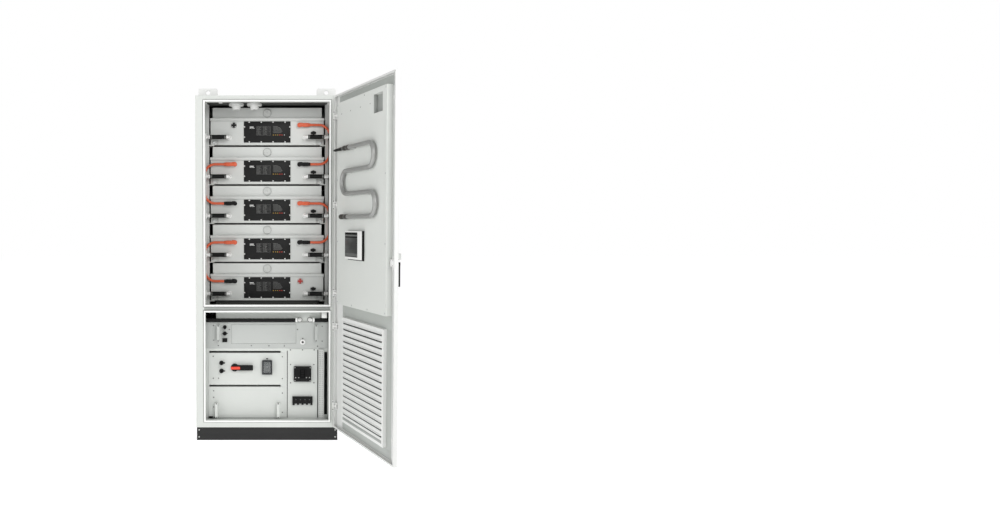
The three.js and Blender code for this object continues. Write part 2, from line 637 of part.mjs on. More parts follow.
const UNIT_X0 = WINDOW_LEFT - UNIT_LAP_LEFT;
const UNIT_X1 = WINDOW_RIGHT + UNIT_LAP_RIGHT;
const CHASSIS_X0 = WINDOW_LEFT + FIT;
const CHASSIS_X1 = WINDOW_RIGHT - FIT;
const SWITCH_X = WINDOW_LEFT + ROTARY.fromLeft;
const SWITCH_Z = DISCONNECT_TOP - ROTARY_BELOW;
const FLIP_X = WINDOW_LEFT + FLIP.fromLeft;
const FLIP_TOP = DISCONNECT_TOP - FLIP.below;

place(cabinet, 'disconnect_unit', unit(
  UNIT_X0, UNIT_X1, DISCONNECT_BOTTOM, DISCONNECT_TOP, CHASSIS_X0, CHASSIS_X1,
  [
    roundPort(UNIT_X0 + 89, DISCONNECT_TOP - 66),
    roundPort(UNIT_X0 + 89, DISCONNECT_TOP - 121),
    box(
      FLIP_X - FLIP_DEVICE.width / 2, FLIP_X + FLIP_DEVICE.width / 2,
      PANEL_FRONT - FLIP_DEVICE.depth, PANEL_FRONT + 1,
      FLIP_TOP - 20 - FLIP_DEVICE.height, FLIP_TOP - 20,
    ),
  ],
), INNER_COAT);

place(cabinet, 'blank_unit', unit(
  UNIT_X0, UNIT_X1, BLANK_BOTTOM, BLANK_TOP, CHASSIS_X0, CHASSIS_X1,
  [UNIT_X0 + 54, UNIT_X1 - 43].map((x) => pullHandle(x, BLANK_BOTTOM + 7, BLANK_BOTTOM + 7 + BLANK_PULL_HEIGHT)),
), INNER_COAT);

function rotaryHandle() {
  const y0 = PANEL_FRONT - FIT - ROTARY.thickness;
  const knob = rod('y', ROTARY.radius, [SWITCH_X, y0, SWITCH_Z], ROTARY.thickness, 28);
  const half = ROTARY.leverHeight / 2;
  const reach = SWITCH_X + ROTARY.leverReach;
  const corner = 6;
  const outline = new THREE.Shape(points2([SWITCH_X, SWITCH_Z + half], [SWITCH_X, SWITCH_Z - half]));
  outline.absarc(reach - corner, SWITCH_Z - half + corner, corner, -Math.PI / 2, 0);
  outline.absarc(reach - corner, SWITCH_Z + half - corner, corner, 0, Math.PI / 2);
  return carve([knob, plateXZ(outline, y0, y0 + ROTARY.leverThickness, 4)]);
}
place(cabinet, 'rotary_handle', rotaryHandle(), BLACK_PLASTIC);

// The cover hangs on an axis along its top rear edge.
function flipCover() {
  const y1 = PANEL_FRONT - FLIP.axisOut;
  const y0 = y1 - FLIP.depth;
  const z1 = FLIP_TOP;
  const z0 = FLIP_TOP - FLIP.height;
  const half = FLIP.width / 2;
  const shell = box(FLIP_X - half, FLIP_X + half, y0, y1, z0, z1);
  const inside = box(
    FLIP_X - half + FLIP.wall, FLIP_X + half - FLIP.wall, y0 + FLIP.wall, y1 + 1,
    z0 + FLIP.wall, z1 - FLIP.wall,
  );
  const tab = box(FLIP_X - half / 2, FLIP_X + half / 2, y0 - 3, y0 + 1, z0 + 3, z0 + 9);
  return carve([shell, tab], [inside]);
}
place(cabinet, 'flip_cover', flipCover(), CLEAR_COVER);

const COLUMN_Z0 = PLATE_BOTTOM + COLUMN.sill;
const COLUMN_Z1 = PLATE_TOP - 4;
const COLUMN_MID = (COLUMN_LEFT + COLUMN_RIGHT) / 2;
function columnPanel() {
  const panel = box(COLUMN_LEFT, COLUMN_RIGHT, PANEL_FRONT, PANEL_BACK, COLUMN_Z0, COLUMN_Z1);
  const z1 = COLUMN_Z1 - TERMINALS.below;
  const z0 = z1 - TERMINALS.height;
  const half = TERMINALS.width / 2;
  const y0 = PANEL_FRONT - TERMINALS.depth;
  const strip = box(COLUMN_MID - half, COLUMN_MID + half, y0, PANEL_FRONT + 1, z0, z1);
  const step = (TERMINALS.width - TERMINALS.footWidth) / (TERMINALS.feet - 1);
  const feet = [];
  for (let i = 0; i < TERMINALS.feet; i += 1) {
    const x = COLUMN_MID - half + i * step;
    feet.push(box(x, x + TERMINALS.footWidth, y0, PANEL_FRONT + 1, z0 - TERMINALS.footHeight, z0 + 1));
  }
  return carve([panel, strip, ...feet]);
}
place(cabinet, 'column_panel', columnPanel(), INNER_COAT);

function breaker() {
  const y1 = PANEL_FRONT - FIT;
  const z1 = COLUMN_Z1 - BREAKER.below;
  const z0 = z1 - BREAKER.height;
  const half = BREAKER.width / 2;
  const y0 = y1 - BREAKER.depth;
  return carve([
    box(COLUMN_MID - half, COLUMN_MID + half, y0, y1, z0, z1),
    box(
      COLUMN_MID - BREAKER.faceWidth / 2, COLUMN_MID + BREAKER.faceWidth / 2,
      y0 - BREAKER.step, y0 + 1, z0 + 25, z1 - 14,
    ),
  ]);
}
place(cabinet, 'breaker', breaker(), BLACK_PLASTIC);

const wiringDuct = box(DUCT_LEFT, DUCT_RIGHT, PANEL_BACK - DUCT.depth, PANEL_BACK, COLUMN_Z0, COLUMN_Z1);
place(cabinet, 'wiring_duct', wiringDuct, INNER_COAT);

// ---------------------------------------------------------------- door
// Door pieces are drawn shut, with the hinge pin on the origin's Z axis, the free edge towards -X
// and the inside towards +Y. The group then turns them to the open rest position.

const PIN_X = SIDE - PIN_INSET;
const PIN_Y = FRONT - PIN_OUT;
const door = new THREE.Group();
door.position.set(PIN_X, PIN_Y, 0);
door.rotation.z = DOOR_OPEN;
cabinet.add(door);

const HINGE_EDGE = PIN_INSET;
const FREE_EDGE = PIN_INSET - WIDTH;
const DOOR_BOTTOM = PLINTH_HEIGHT + DOOR_END_GAP;
const DOOR_TOP = HEIGHT - DOOR_END_GAP;
const SKIN = -DOOR_THICKNESS / 2; // outer face
const RIM = DOOR_THICKNESS / 2; // inner edge of the returns
const SKIN_INNER = SKIN + DOOR_SHEET;
const SEAT = SKIN_INNER + FIT; // where inner pieces sit on the skin
const LOCK_X = FREE_EDGE + HANDLE.fromFree;
const LOCK_Z = HANDLE.height;
const ROD_TOP = DOOR_TOP - ROD.topInset;
const ROD_BOTTOM = DOOR_BOTTOM + ROD.bottomInset;

function rodGuide(z) {
  const half = ROD.width / 2 + 0.4;
  const reach = half + GUIDE.wall;
  const y1 = ROD.thickness / 2 + 0.4;
  return {
    body: box(LOCK_X - reach, LOCK_X + reach, SKIN_INNER - 1, y1 + GUIDE.wall, z, z + GUIDE.height),
    slot: box(LOCK_X - half, LOCK_X + half, -y1, y1, z - 1, z + GUIDE.height + 1),
  };
}

function doorShell() {
  const pan = box(FREE_EDGE, HINGE_EDGE, SKIN, RIM, DOOR_BOTTOM, DOOR_TOP);
  const hollow = box(
    FREE_EDGE + DOOR_SHEET, HINGE_EDGE - DOOR_SHEET, SKIN_INNER, RIM - DOOR_SHEET,
    DOOR_BOTTOM + DOOR_SHEET, DOOR_TOP - DOOR_SHEET,
  );
  const mouth = box(
    FREE_EDGE + DOOR_LIP, HINGE_EDGE - DOOR_LIP, 0, RIM + 1, DOOR_BOTTOM + DOOR_LIP, DOOR_TOP - DOOR_LIP,
  );
  const spindleHole = rod('y', SPINDLE_RADIUS + 0.4, [LOCK_X, SKIN - 1, LOCK_Z], DOOR_SHEET + 2, 16);
  const joined = [];
  const removed = [spindleHole];
  for (const z of HINGE_HEIGHTS) {
    const near = HINGE.window / 2;
    removed.push(box(PIN_RADIUS, HINGE_EDGE + 1, SKIN_INNER + 0.5, RIM + 1, z - near, z + near));
    for (const side of [-1, 1]) {
      const z0 = side > 0 ? z + near : z - near - HINGE.eye;
      joined.push(box(-8, 8, SKIN_INNER - 1, PIN_RADIUS + 3, z0, z0 + HINGE.eye));
    }
    removed.push(rod(
      'z', PIN_RADIUS + HINGE.clear, [0, 0, z - near - HINGE.eye - 1], HINGE.window + 2 * HINGE.eye + 2, 16,
    ));
  }
  for (const z of [ROD_BOTTOM + GUIDE.fromEnd, ROD_TOP - GUIDE.fromEnd - GUIDE.height]) {
    const guide = rodGuide(z);
    joined.push(guide.body);
    removed.push(guide.slot);
  }
  let solid = toSolid(pan).subtract(toSolid(hollow)).subtract(toSolid(mouth));
  for (const piece of joined) solid = solid.add(toSolid(piece));
  for (const piece of removed) solid = solid.subtract(toSolid(piece));
  return toGeometry(solid);
}
place(door, 'door_shell', doorShell(), GREY_COAT);

const INNER_X0 = FREE_EDGE + INNER.freeInset;
const INNER_X1 = HINGE_EDGE - INNER.hingeInset;
const INNER_Z0 = UPPER_BOTTOM + INNER.foot;
const INNER_Z1 = UPPER_TOP - INNER.head;

function doorInnerPanel() {
  const pan = box(INNER_X0, INNER_X1, SEAT, INNER.face, INNER_Z0, INNER_Z1);
  const hollow = box(
    INNER_X0 + SHEET, INNER_X1 - SHEET, SEAT - 1, INNER.face - SHEET, INNER_Z0 + SHEET, INNER_Z1 - SHEET,
  );
  const x0 = INNER_X0 + POCKET.fromFree;
  const x1 = x0 + POCKET.width;
  const z1 = INNER_Z1 - POCKET.fromTop;
  const z0 = z1 - POCKET.height;
  const y0 = INNER.face - POCKET.depth;
  const pocketWalls = box(x0 - SHEET, x1 + SHEET, y0 - SHEET, INNER.face - 1, z0 - SHEET, z1 + SHEET);
  const pocket = box(x0, x1, y0, INNER.face + 1, z0, z1);
  const solid = toSolid(pan).subtract(toSolid(hollow)).add(toSolid(pocketWalls)).subtract(toSolid(pocket));
  return toGeometry(solid);
}
place(door, 'door_inner_panel', doorInnerPanel(), INNER_COAT);

function doorLouvre() {
  const x0 = FREE_EDGE + DOOR_LOUVRE.freeInset;
  const x1 = HINGE_EDGE - DOOR_LOUVRE.hingeInset;
  const z0 = LOWER_BOTTOM + DOOR_LOUVRE.foot;
  const z1 = LOWER_TOP - DOOR_LOUVRE.head;
  const hollow = box(x0 + SHEET, x1 - SHEET, SEAT - 1, RIM - SHEET, z0 + SHEET, z1 - SHEET);
  const first = z1 - LOUVRE_MARGIN.top;
  const pitch = (first - z0 - LOUVRE_MARGIN.bottom) / (DOOR_LOUVRE.slots - 1);
  const slots = [];
  for (let i = 0; i < DOOR_LOUVRE.slots; i += 1) {
    const z = first - i * pitch;
    slots.push(box(
      x0 + LOUVRE_MARGIN.side, x1 - LOUVRE_MARGIN.side, 0, RIM + 1,
      z - DOOR_LOUVRE.slotHeight / 2, z + DOOR_LOUVRE.slotHeight / 2,
    ));
  }
  return carve([box(x0, x1, SEAT, RIM, z0, z1)], [hollow, ...slots]);
}
place(door, 'door_louvre', doorLouvre(), INNER_COAT);

// A formed pipe in four rows, held on studs, with a threaded fitting on each end.
function doorPipe() {
  const y = INNER.face + FIT + DOOR_PIPE.standOff + DOOR_PIPE.radius;
  const bend = DOOR_PIPE.bend;
  const row = (n) => INNER_Z1 - DOOR_PIPE.fromTop - n * 2 * bend;
  const hingeX = INNER_X1 - DOOR_PIPE.fromHinge - DOOR_PIPE.radius - bend;
  const freeX = INNER_X0 + DOOR_PIPE.fromFree + DOOR_PIPE.radius + bend;
  const freeLowX = INNER_X0 + DOOR_PIPE.fromFreeLow + DOOR_PIPE.radius + bend;
  const upperEnd = -DOOR_PIPE_ENDS.upper - DOOR_PIPE_ENDS.fittingLength;
  const lowerEnd = -DOOR_PIPE_ENDS.lower - DOOR_PIPE_ENDS.fittingLength;
  const turn = (x, n) => [[vec(x, y, row(n)), bend], [vec(x, y, row(n + 1)), bend]];
  const route = [
    [vec(upperEnd + EMBED, y, row(0))],
    ...turn(freeX - bend, 0),
    ...turn(hingeX + bend, 1),
    ...turn(freeLowX - bend, 2),
    [vec(lowerEnd + EMBED, y, row(3))],
  ];
  const fittings = [
    rod('x', DOOR_PIPE_ENDS.fittingRadius, [upperEnd - 60, y, row(0)], DOOR_PIPE_ENDS.fittingLength, 16),
    rod('x', DOOR_PIPE.radius / 2, [upperEnd, y, row(0)], DOOR_PIPE_ENDS.fittingLength, 12),
    rod('x', DOOR_PIPE_ENDS.fittingRadius, [lowerEnd, y, row(3)], DOOR_PIPE_ENDS.fittingLength, 16),
  ];
  const studs = [[freeX, 0], [hingeX, 1], [freeX, 1], [hingeX, 2], [freeLowX, 2], [freeLowX, 3]].map(([x, n]) =>
    rod('y', DOOR_PIPE_ENDS.studRadius, [x, INNER.face + FIT, row(n)], DOOR_PIPE.standOff + DOOR_PIPE.radius, 10));
  return carve([tube(route, DOOR_PIPE.radius), ...fittings, ...studs]);
}
place(door, 'door_pipe', doorPipe(), PIPE_GREY);

function doorDisplay() {
  const x1 = INNER_X1 - DISPLAY.fromHinge;
  const z0 = INNER_Z0 + DISPLAY.fromFoot;
  const y0 = INNER.face + FIT;
  const body = box(x1 - DISPLAY.width, x1, y0, y0 + DISPLAY.depth, z0, z0 + DISPLAY.height);
  const screen = box(
    x1 - DISPLAY.width + 50, x1 - 44, y0 + DISPLAY.depth - 2, y0 + DISPLAY.depth + 1,
    z0 + 18, z0 + DISPLAY.height - 12,
  );
  return carve([body], [screen]);
}
place(door, 'door_display', doorDisplay(), SCREEN_HOUSING);

// ---------------------------------------------------------------- swing handle and its lock

const PLATE_OUTER = SKIN - FIT - HANDLE.plate;

function handleBase() {
  const half = HANDLE.plateWidth / 2;
  const plate = box(
    LOCK_X - half, LOCK_X + half, PLATE_OUTER, SKIN - FIT, LOCK_Z - HANDLE.below, LOCK_Z + HANDLE.above,
  );
  const block = box(
    LOCK_X - half, LOCK_X + half, SKIN - FIT - LOCK_BLOCK.depth, SKIN - FIT,
    LOCK_Z + LOCK_BLOCK.bottom, LOCK_Z + HANDLE.above,
  );
  const hole = rod('y', SPINDLE_RADIUS + 0.4, [LOCK_X, PLATE_OUTER - 1, LOCK_Z], HANDLE.plate + 3, 16);
  return carve([plate, block], [hole]);
}
place(door, 'handle_base', handleBase(), GREY_COAT);

const LEVER_INNER = PLATE_OUTER - LEVER.gap;
const LEVER_MID = LEVER_INNER - LEVER.thickness / 2;

function handleLever() {
  const radius = LEVER.thickness / 2;
  const half = LEVER.width / 2;
  const blade = box(
    LOCK_X - half, LOCK_X + half, LEVER_INNER - LEVER.thickness, LEVER_INNER, LOCK_Z - LEVER.length, LOCK_Z,
  );
  const roundTop = rod('x', radius, [LOCK_X - half, LEVER_MID, LOCK_Z], LEVER.width, 20);
  const slot = box(
    LOCK_X - LEVER.slot / 2, LOCK_X + LEVER.slot / 2,
    LEVER_MID - 2 * radius, LEVER_MID + 2 * radius, LOCK_Z - 8.5, LOCK_Z + 2 * radius,
  );
  return carve([blade, roundTop], [slot]);
}
place(door, 'handle_lever', handleLever(), BLACK_PLASTIC);

// The cam, its spindle and the hub that the lever turns on are one piece.
function lockCam() {
  const hubLength = LEVER.slot - 1;
  return carve([
    rod('y', CAM.radius, [LOCK_X, -CAM.thickness / 2, LOCK_Z], CAM.thickness, 24),
    rod('y', SPINDLE_RADIUS, [LOCK_X, LEVER_MID, LOCK_Z], -LEVER_MID, 16),
    rod('x', LEVER.hubRadius, [LOCK_X - hubLength / 2, LEVER_MID, LOCK_Z], hubLength, 16),
  ]);
}
place(door, 'lock_cam', lockCam(), ZINC);

// A flat rod with an offset foot that runs beside the cam. side is -1 towards the free edge.
function lockRod(end, direction, side) {
  const half = ROD.width / 2;
  const at = (dx, dz) => [LOCK_X + side * dx, LOCK_Z + direction * dz];
  const near = CAM.radius + 0.5;
  const far = near + ROD.width;
  const outline = points2(
    at(-half, ROD.clearance), at(near, ROD.clearance), at(near, -ROD.rack / 2), at(far, -ROD.rack / 2),
    at(far, ROD.clearance + ROD.width), at(half, ROD.clearance + ROD.width),
    [LOCK_X + side * half, end], [LOCK_X - side * half, end],
  );
  return carve([plateXZ(outline, -ROD.thickness / 2, ROD.thickness / 2)]);
}
place(door, 'lock_rod_upper', lockRod(ROD_TOP, 1, -1), ZINC);
place(door, 'lock_rod_lower', lockRod(ROD_BOTTOM, -1, 1), ZINC);

// ---------------------------------------------------------------- hinges
// Each hinge is a plate on the frame's post, an arm, and the pin that the door's eyes turn on.

function hinge(z) {
  const reach = PIN_OUT - FIT - SHEET;
  const slope = THREE.MathUtils.degToRad(28); // the arm's lean from straight out
  const half = HINGE.armWidth / 2;
  const foot = -reach * Math.tan(slope);
  const arm = plateXY(points2(
    [-half, 0], [half, 0], [foot + half, reach + 1], [foot - half, reach + 1],
  ), z - HINGE.armHeight / 2, z + HINGE.armHeight / 2);
  const base = box(
    foot - HINGE.baseWidth / 2, foot + HINGE.baseWidth / 2, reach, reach + SHEET,
    z - HINGE.height / 2, z + HINGE.height / 2,
  );
  const pinLength = HINGE.window + 2 * HINGE.eye;
  const pin = rod('z', PIN_RADIUS, [0, 0, z - pinLength / 2], pinLength, 16);
  return carve([arm, base, pin]).translate(PIN_X, PIN_Y, 0);
}
HINGE_HEIGHTS.forEach((z, i) => place(cabinet, `hinge_${i + 1}`, hinge(z), ZINC));

export default cabinet;
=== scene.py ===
"""The looks of a liquid-cooled battery cabinet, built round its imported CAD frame.

Metres, +Z up, the front faces -Y.
"""

import json
import math

import bmesh
import bpy
from mathutils import Matrix, Vector


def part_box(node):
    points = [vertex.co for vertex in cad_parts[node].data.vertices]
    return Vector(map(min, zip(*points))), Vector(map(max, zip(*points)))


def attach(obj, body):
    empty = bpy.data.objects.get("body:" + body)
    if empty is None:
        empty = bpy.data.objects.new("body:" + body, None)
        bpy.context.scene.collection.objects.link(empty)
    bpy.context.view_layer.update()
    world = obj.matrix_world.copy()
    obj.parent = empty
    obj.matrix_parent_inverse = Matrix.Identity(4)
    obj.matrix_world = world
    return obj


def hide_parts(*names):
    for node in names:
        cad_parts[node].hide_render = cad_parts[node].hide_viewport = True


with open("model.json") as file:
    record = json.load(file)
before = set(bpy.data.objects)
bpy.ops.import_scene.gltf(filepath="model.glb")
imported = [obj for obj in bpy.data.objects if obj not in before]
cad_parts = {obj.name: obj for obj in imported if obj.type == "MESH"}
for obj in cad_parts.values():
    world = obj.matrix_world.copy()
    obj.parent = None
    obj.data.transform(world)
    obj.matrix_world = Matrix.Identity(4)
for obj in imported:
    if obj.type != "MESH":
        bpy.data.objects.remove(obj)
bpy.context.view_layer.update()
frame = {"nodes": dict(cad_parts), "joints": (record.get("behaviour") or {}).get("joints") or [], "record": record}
SCENE = bpy.context.scene

# ---------------------------------------------------------------- places taken from the frame

PACKS = range(1, 6)
DOOR_OPEN = math.radians(105.8)
DOOR_JOINT = next(j for j in frame["joints"] if j["name"] == "door_hinge")
PIN = Vector((DOOR_JOINT["pos_m"][0], DOOR_JOINT["pos_m"][1], 0.0))
DOOR_TURN = Matrix.Translation(PIN) @ Matrix.Rotation(DOOR_OPEN, 4, "Z")
SKIN_OUTER = -0.0125  # door skin's faces, in the shut door's own frame
SKIN_INNER = -0.0095


def mid(node):
    low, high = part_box(node)
    return (low + high) / 2


# ---------------------------------------------------------------- node helpers


def new_group(name, inputs, outputs):
    group = bpy.data.node_groups.new(name, "ShaderNodeTree")
    for socket, kind, value in inputs:
        made = group.interface.new_socket(name=socket, in_out="INPUT", socket_type=kind)
        made.default_value = value
    for socket, kind in outputs:
        group.interface.new_socket(name=socket, in_out="OUTPUT", socket_type=kind)
    return group, group.nodes.new("NodeGroupInput"), group.nodes.new("NodeGroupOutput")


def add(tree, kind, **settings):
    """A new node with values set on its sockets."""
    node = tree.nodes.new(kind)
    for name, value in settings.items():
        node.inputs[name].default_value = value
    return node


def math_node(tree, operation, a, b=0.0, clamp=False):
    node = tree.nodes.new("ShaderNodeMath")
    node.operation = operation
    node.use_clamp = clamp
    for socket, value in zip(node.inputs, (a, b)):
        if isinstance(value, bpy.types.NodeSocket):
            tree.links.new(value, socket)
        else:
            socket.default_value = value
    return node.outputs[0]


def mix_colour(tree, factor, a, b, blend="MIX"):
    node = tree.nodes.new("ShaderNodeMix")
    node.data_type = "RGBA"
    node.blend_type = blend
    for name, value in (("Factor", factor), ("A", a), ("B", b)):
        socket = next(s for s in node.inputs if s.name == name and s.type in ("VALUE", "RGBA") and s.enabled)
        if isinstance(value, bpy.types.NodeSocket):
            tree.links.new(value, socket)
        else:
            socket.default_value = value
    return next(s for s in node.outputs if s.type == "RGBA" and s.enabled)


def noise(tree, scale, detail=3.0, rough=0.55, stretch=None):
    where = tree.nodes.new("ShaderNodeTexCoord").outputs["Object"]
    if stretch:
        mapping = tree.nodes.new("ShaderNodeMapping")
        mapping.inputs["Scale"].default_value = stretch
        tree.links.new(where, mapping.inputs["Vector"])
        where = mapping.outputs["Vector"]
    node = add(tree, "ShaderNodeTexNoise", Scale=scale, Detail=detail, Roughness=rough)
    tree.links.new(where, node.inputs["Vector"])
    return node.outputs["Fac"]


def build_surface_group():
    """Slow colour drift, fine grain and a slightly uneven gloss for any coat, casting or moulding."""
    group, g_in, g_out = new_group(
        "surface_variation",
        [
            ("Colour", "NodeSocketColor", (0.8, 0.8, 0.8, 1)),
            ("Drift", "NodeSocketFloat", 0.05),
            ("Roughness", "NodeSocketFloat", 0.5),
            ("Grain Scale", "NodeSocketFloat", 900.0),
        ],
        [("Colour", "NodeSocketColor"), ("Roughness", "NodeSocketFloat"), ("Height", "NodeSocketFloat")],
    )
    slow = noise(group, 2.2, 4.0)
    shade = math_node(group, "MULTIPLY", math_node(group, "SUBTRACT", slow, 0.5), g_in.outputs["Drift"])
    value = math_node(group, "ADD", shade, 1.0)
    tint = group.nodes.new("ShaderNodeHueSaturation")
    group.links.new(g_in.outputs["Colour"], tint.inputs["Color"])
    group.links.new(value, tint.inputs["Value"])
    group.links.new(tint.outputs["Color"], g_out.inputs["Colour"])
    smear = noise(group, 14.0, 5.0, 0.65)
    uneven = math_node(group, "MULTIPLY", math_node(group, "SUBTRACT", smear, 0.5), 0.16)
    rough = math_node(group, "ADD", g_in.outputs["Roughness"], uneven, clamp=True)
    group.links.new(rough, g_out.inputs["Roughness"])
    where = group.nodes.new("ShaderNodeTexCoord").outputs["Object"]
    grain = group.nodes.new("ShaderNodeTexNoise")
    grain.inputs["Detail"].default_value = 2.0
    group.links.new(where, grain.inputs["Vector"])
    group.links.new(g_in.outputs["Grain Scale"], grain.inputs["Scale"])
    group.links.new(grain.outputs["Fac"], g_out.inputs["Height"])
    return group


def build_wear_group():
    """A mask that is high along worn outside edges, and a normal that rounds every edge a little."""
    group, g_in, g_out = new_group(
        "edge_wear",
        [("Radius", "NodeSocketFloat", 0.0015), ("Amount", "NodeSocketFloat", 0.5)],
        [("Mask", "NodeSocketFloat"), ("Normal", "NodeSocketVector")],
    )
    soft = group.nodes.new("ShaderNodeBevel")
    soft.samples = 4
    group.links.new(g_in.outputs["Radius"], soft.inputs["Radius"])
    flat = group.nodes.new("ShaderNodeNewGeometry").outputs["True Normal"]
    dot = group.nodes.new("ShaderNodeVectorMath")
    dot.operation = "DOT_PRODUCT"
    group.links.new(soft.outputs["Normal"], dot.inputs[0])
    group.links.new(flat, dot.inputs[1])
    turned = math_node(group, "SUBTRACT", 1.0, dot.outputs["Value"], clamp=True)
    edge = math_node(group, "MULTIPLY", turned, 5.0, clamp=True)
    patchy = math_node(group, "MULTIPLY", math_node(group, "SUBTRACT", noise(group, 60.0, 6.0, 0.7), 0.42),
                       6.0, clamp=True)
    mask = math_node(group, "MULTIPLY", edge, patchy)
    group.links.new(math_node(group, "MULTIPLY", mask, g_in.outputs["Amount"]), g_out.inputs["Mask"])
    group.links.new(soft.outputs["Normal"], g_out.inputs["Normal"])
    return group


SURFACE = build_surface_group()
WEAR = build_wear_group()


def colour(code):
    """A hex colour as the linear values that a shader takes."""
    parts = [int(code[i:i + 2], 16) / 255 for i in (0, 2, 4)]
    return (*[p / 12.92 if p <= 0.04045 else ((p + 0.055) / 1.055) ** 2.4 for p in parts], 1.0)


def finish_of(name, code, rough, metal=0.0, drift=0.05, grain=900.0, bump=0.0004, worn=None, wear=0.5,
              radius=0.0012, coat=0.0, sheen=0.5):
    """A material with drift, grain and worn edges. worn is the colour that shows where an edge has rubbed."""
    made = bpy.data.materials.new(name)
    made.use_nodes = True
    tree = made.node_tree
    shader = tree.nodes["Principled BSDF"]
    surface = tree.nodes.new("ShaderNodeGroup")
    surface.node_tree = SURFACE
    surface.inputs["Colour"].default_value = colour(code)
    surface.inputs["Drift"].default_value = drift
    surface.inputs["Roughness"].default_value = rough
    surface.inputs["Grain Scale"].default_value = grain
    edge = tree.nodes.new("ShaderNodeGroup")
    edge.node_tree = WEAR
    edge.inputs["Amount"].default_value = wear
    edge.inputs["Radius"].default_value = radius
    shown = mix_colour(tree, edge.outputs["Mask"], surface.outputs["Colour"], colour(worn or code))
    tree.links.new(shown, shader.inputs["Base Color"])
    tree.links.new(surface.outputs["Roughness"], shader.inputs["Roughness"])
    relief = tree.nodes.new("ShaderNodeBump")
    relief.inputs["Strength"].default_value = 0.35
    relief.inputs["Distance"].default_value = bump
    tree.links.new(surface.outputs["Height"], relief.inputs["Height"])
    tree.links.new(edge.outputs["Normal"], relief.inputs["Normal"])
    tree.links.new(relief.outputs["Normal"], shader.inputs["Normal"])
    shader.inputs["Metallic"].default_value = metal
    shader.inputs["Specular IOR Level"].default_value = sheen
    if coat:
        shader.inputs["Coat Weight"].default_value = coat
        shader.inputs["Coat Roughness"].default_value = 0.25
    return made


GREY_COAT = finish_of("grey_powder_coat", "e9eae8", 0.48, drift=0.04, worn="f4f4f2", wear=0.6)
INNER_COAT = finish_of("inner_powder_coat", "d3d6d2", 0.42, drift=0.05, worn="eeeeec", wear=0.5)
RAIL_COAT = finish_of("rail_coat", "c6c8c5", 0.4, drift=0.06, worn="e8e8e6", wear=0.5)
PLINTH_COAT = finish_of("plinth_coat", "2c2c2c", 0.55, sheen=0.25, drift=0.12, worn="5c5c5a", wear=0.5)
CONTROL_COAT = finish_of("control_coat", "babdba", 0.44, drift=0.05, worn="dcdedb", wear=0.5)
PANEL_COAT = finish_of("door_panel_coat", "dbdeda", 0.42, drift=0.05, worn="eeeeec", wear=0.5)
DOOR_COAT = finish_of("door_coat", "e1e2e0", 0.48, drift=0.04, worn="eeeeec", wear=0.6)
# Painted shade: the sill beam's dark grey stands for the shadow it sits in.
SILL_BEAM_SHADE = finish_of("sill_beam_painted_shade", "2e2f2d", 0.55, sheen=0.3, drift=0.15, worn="5a5b59", wear=0.5)
SHADOW_BLACK = finish_of("shadow_black", "0a0a0a", 0.8, sheen=0.15, drift=0.2, worn="1c1c1c", wear=0.3)
PACK_CASE = finish_of("pack_case_paint", "cbcdca", 0.38, metal=0.1, drift=0.05, worn="efefed", wear=0.5)
PACK_LID = finish_of("pack_lid_paint", "d2d4d1", 0.42, drift=0.05, worn="f0f0ee", wear=0.5)
PLATE_BLACK = finish_of("plate_black", "1a1a1a", 0.5, sheen=0.2, drift=0.15, worn="3a3a3a", wear=0.5,
                        grain=1400.0)
MOULD_BLACK = finish_of("moulded_black", "0e0e0e", 0.52, sheen=0.22, drift=0.15, worn="2e2e2e", wear=0.4,
                        grain=1600.0)
RUBBER_BLACK = finish_of("hose_rubber", "101010", 0.62, sheen=0.2, drift=0.2, worn="2c2c2c", wear=0.3,
                         grain=700.0)
LEAD_ORANGE = finish_of("lead_orange", "d65c38", 0.46, drift=0.1, worn="f59a76", wear=0.4, grain=800.0)
LEVER_RED = finish_of("lever_red", "e6452f", 0.38, drift=0.06, worn="f28a7c", wear=0.4)
MARK_RED = finish_of("port_red", "b03028", 0.45, drift=0.08, worn="c86a60", wear=0.3)
FITTING_WHITE = finish_of("fitting_white", "ececea", 0.35, drift=0.03, worn="fafaf8", wear=0.4)
ZINC = finish_of("zinc_plate", "c2c5c6", 0.34, metal=0.85, drift=0.1, worn="e2e4e4", wear=0.5, grain=500.0)
STEEL_DARK = finish_of("dark_steel", "6c6d6b", 0.4, metal=0.6, drift=0.15, worn="a0a09e", wear=0.5)
FITTING_DARK = finish_of("pipe_fitting", "4c4b48", 0.36, metal=0.7, drift=0.25, worn="b4b2aa", wear=0.8)
PIPE_STEEL = finish_of("pipe_steel", "9c9d9b", 0.34, metal=0.3, drift=0.08, worn="dcdcda", wear=0.4,
                       grain=400.0)
SCREEN_DARK = finish_of("screen_glass", "2a2b2b", 0.4, sheen=0.25, drift=0.1, worn="3c3e40", wear=0.2,
                        coat=0.5)
HOUSING_DARK = finish_of("display_housing", "161616", 0.45, sheen=0.25, drift=0.1, worn="5a5a58", wear=0.4)
SEAL_GREY = finish_of("door_seal", "f6f7f5", 0.55, drift=0.03, worn="f6f6f4", wear=0.2, grain=500.0)
INK_WHITE = finish_of("ink_white", "e6e6e4", 0.6, drift=0.05, wear=0.1)
# Grey for the packs' printed table, and for the painted shadow lines beside the seals.
INK_AND_SHADOW_GREY = finish_of("ink_and_shadow_grey", "8e8e8c", 0.6, drift=0.08, wear=0.1)
INK_AMBER = finish_of("ink_amber", "c9a23c", 0.6, drift=0.05, wear=0.1)

# Painted shade: a darker grey standing for the shade inside the door's recess.
DOOR_SHADE_GREY = finish_of("door_painted_shade_grey", "b2b6b2", 0.55, drift=0.06, worn="c9ccc9", wear=0.2)
# Painted shade: a darker grey for sunk faces, grooves and the thin shadow lines under raised edges.
RECESS_PAINTED_SHADE = finish_of("recess_painted_shade", "9fa29f", 0.5, drift=0.06, worn="b9bcb9", wear=0.3)
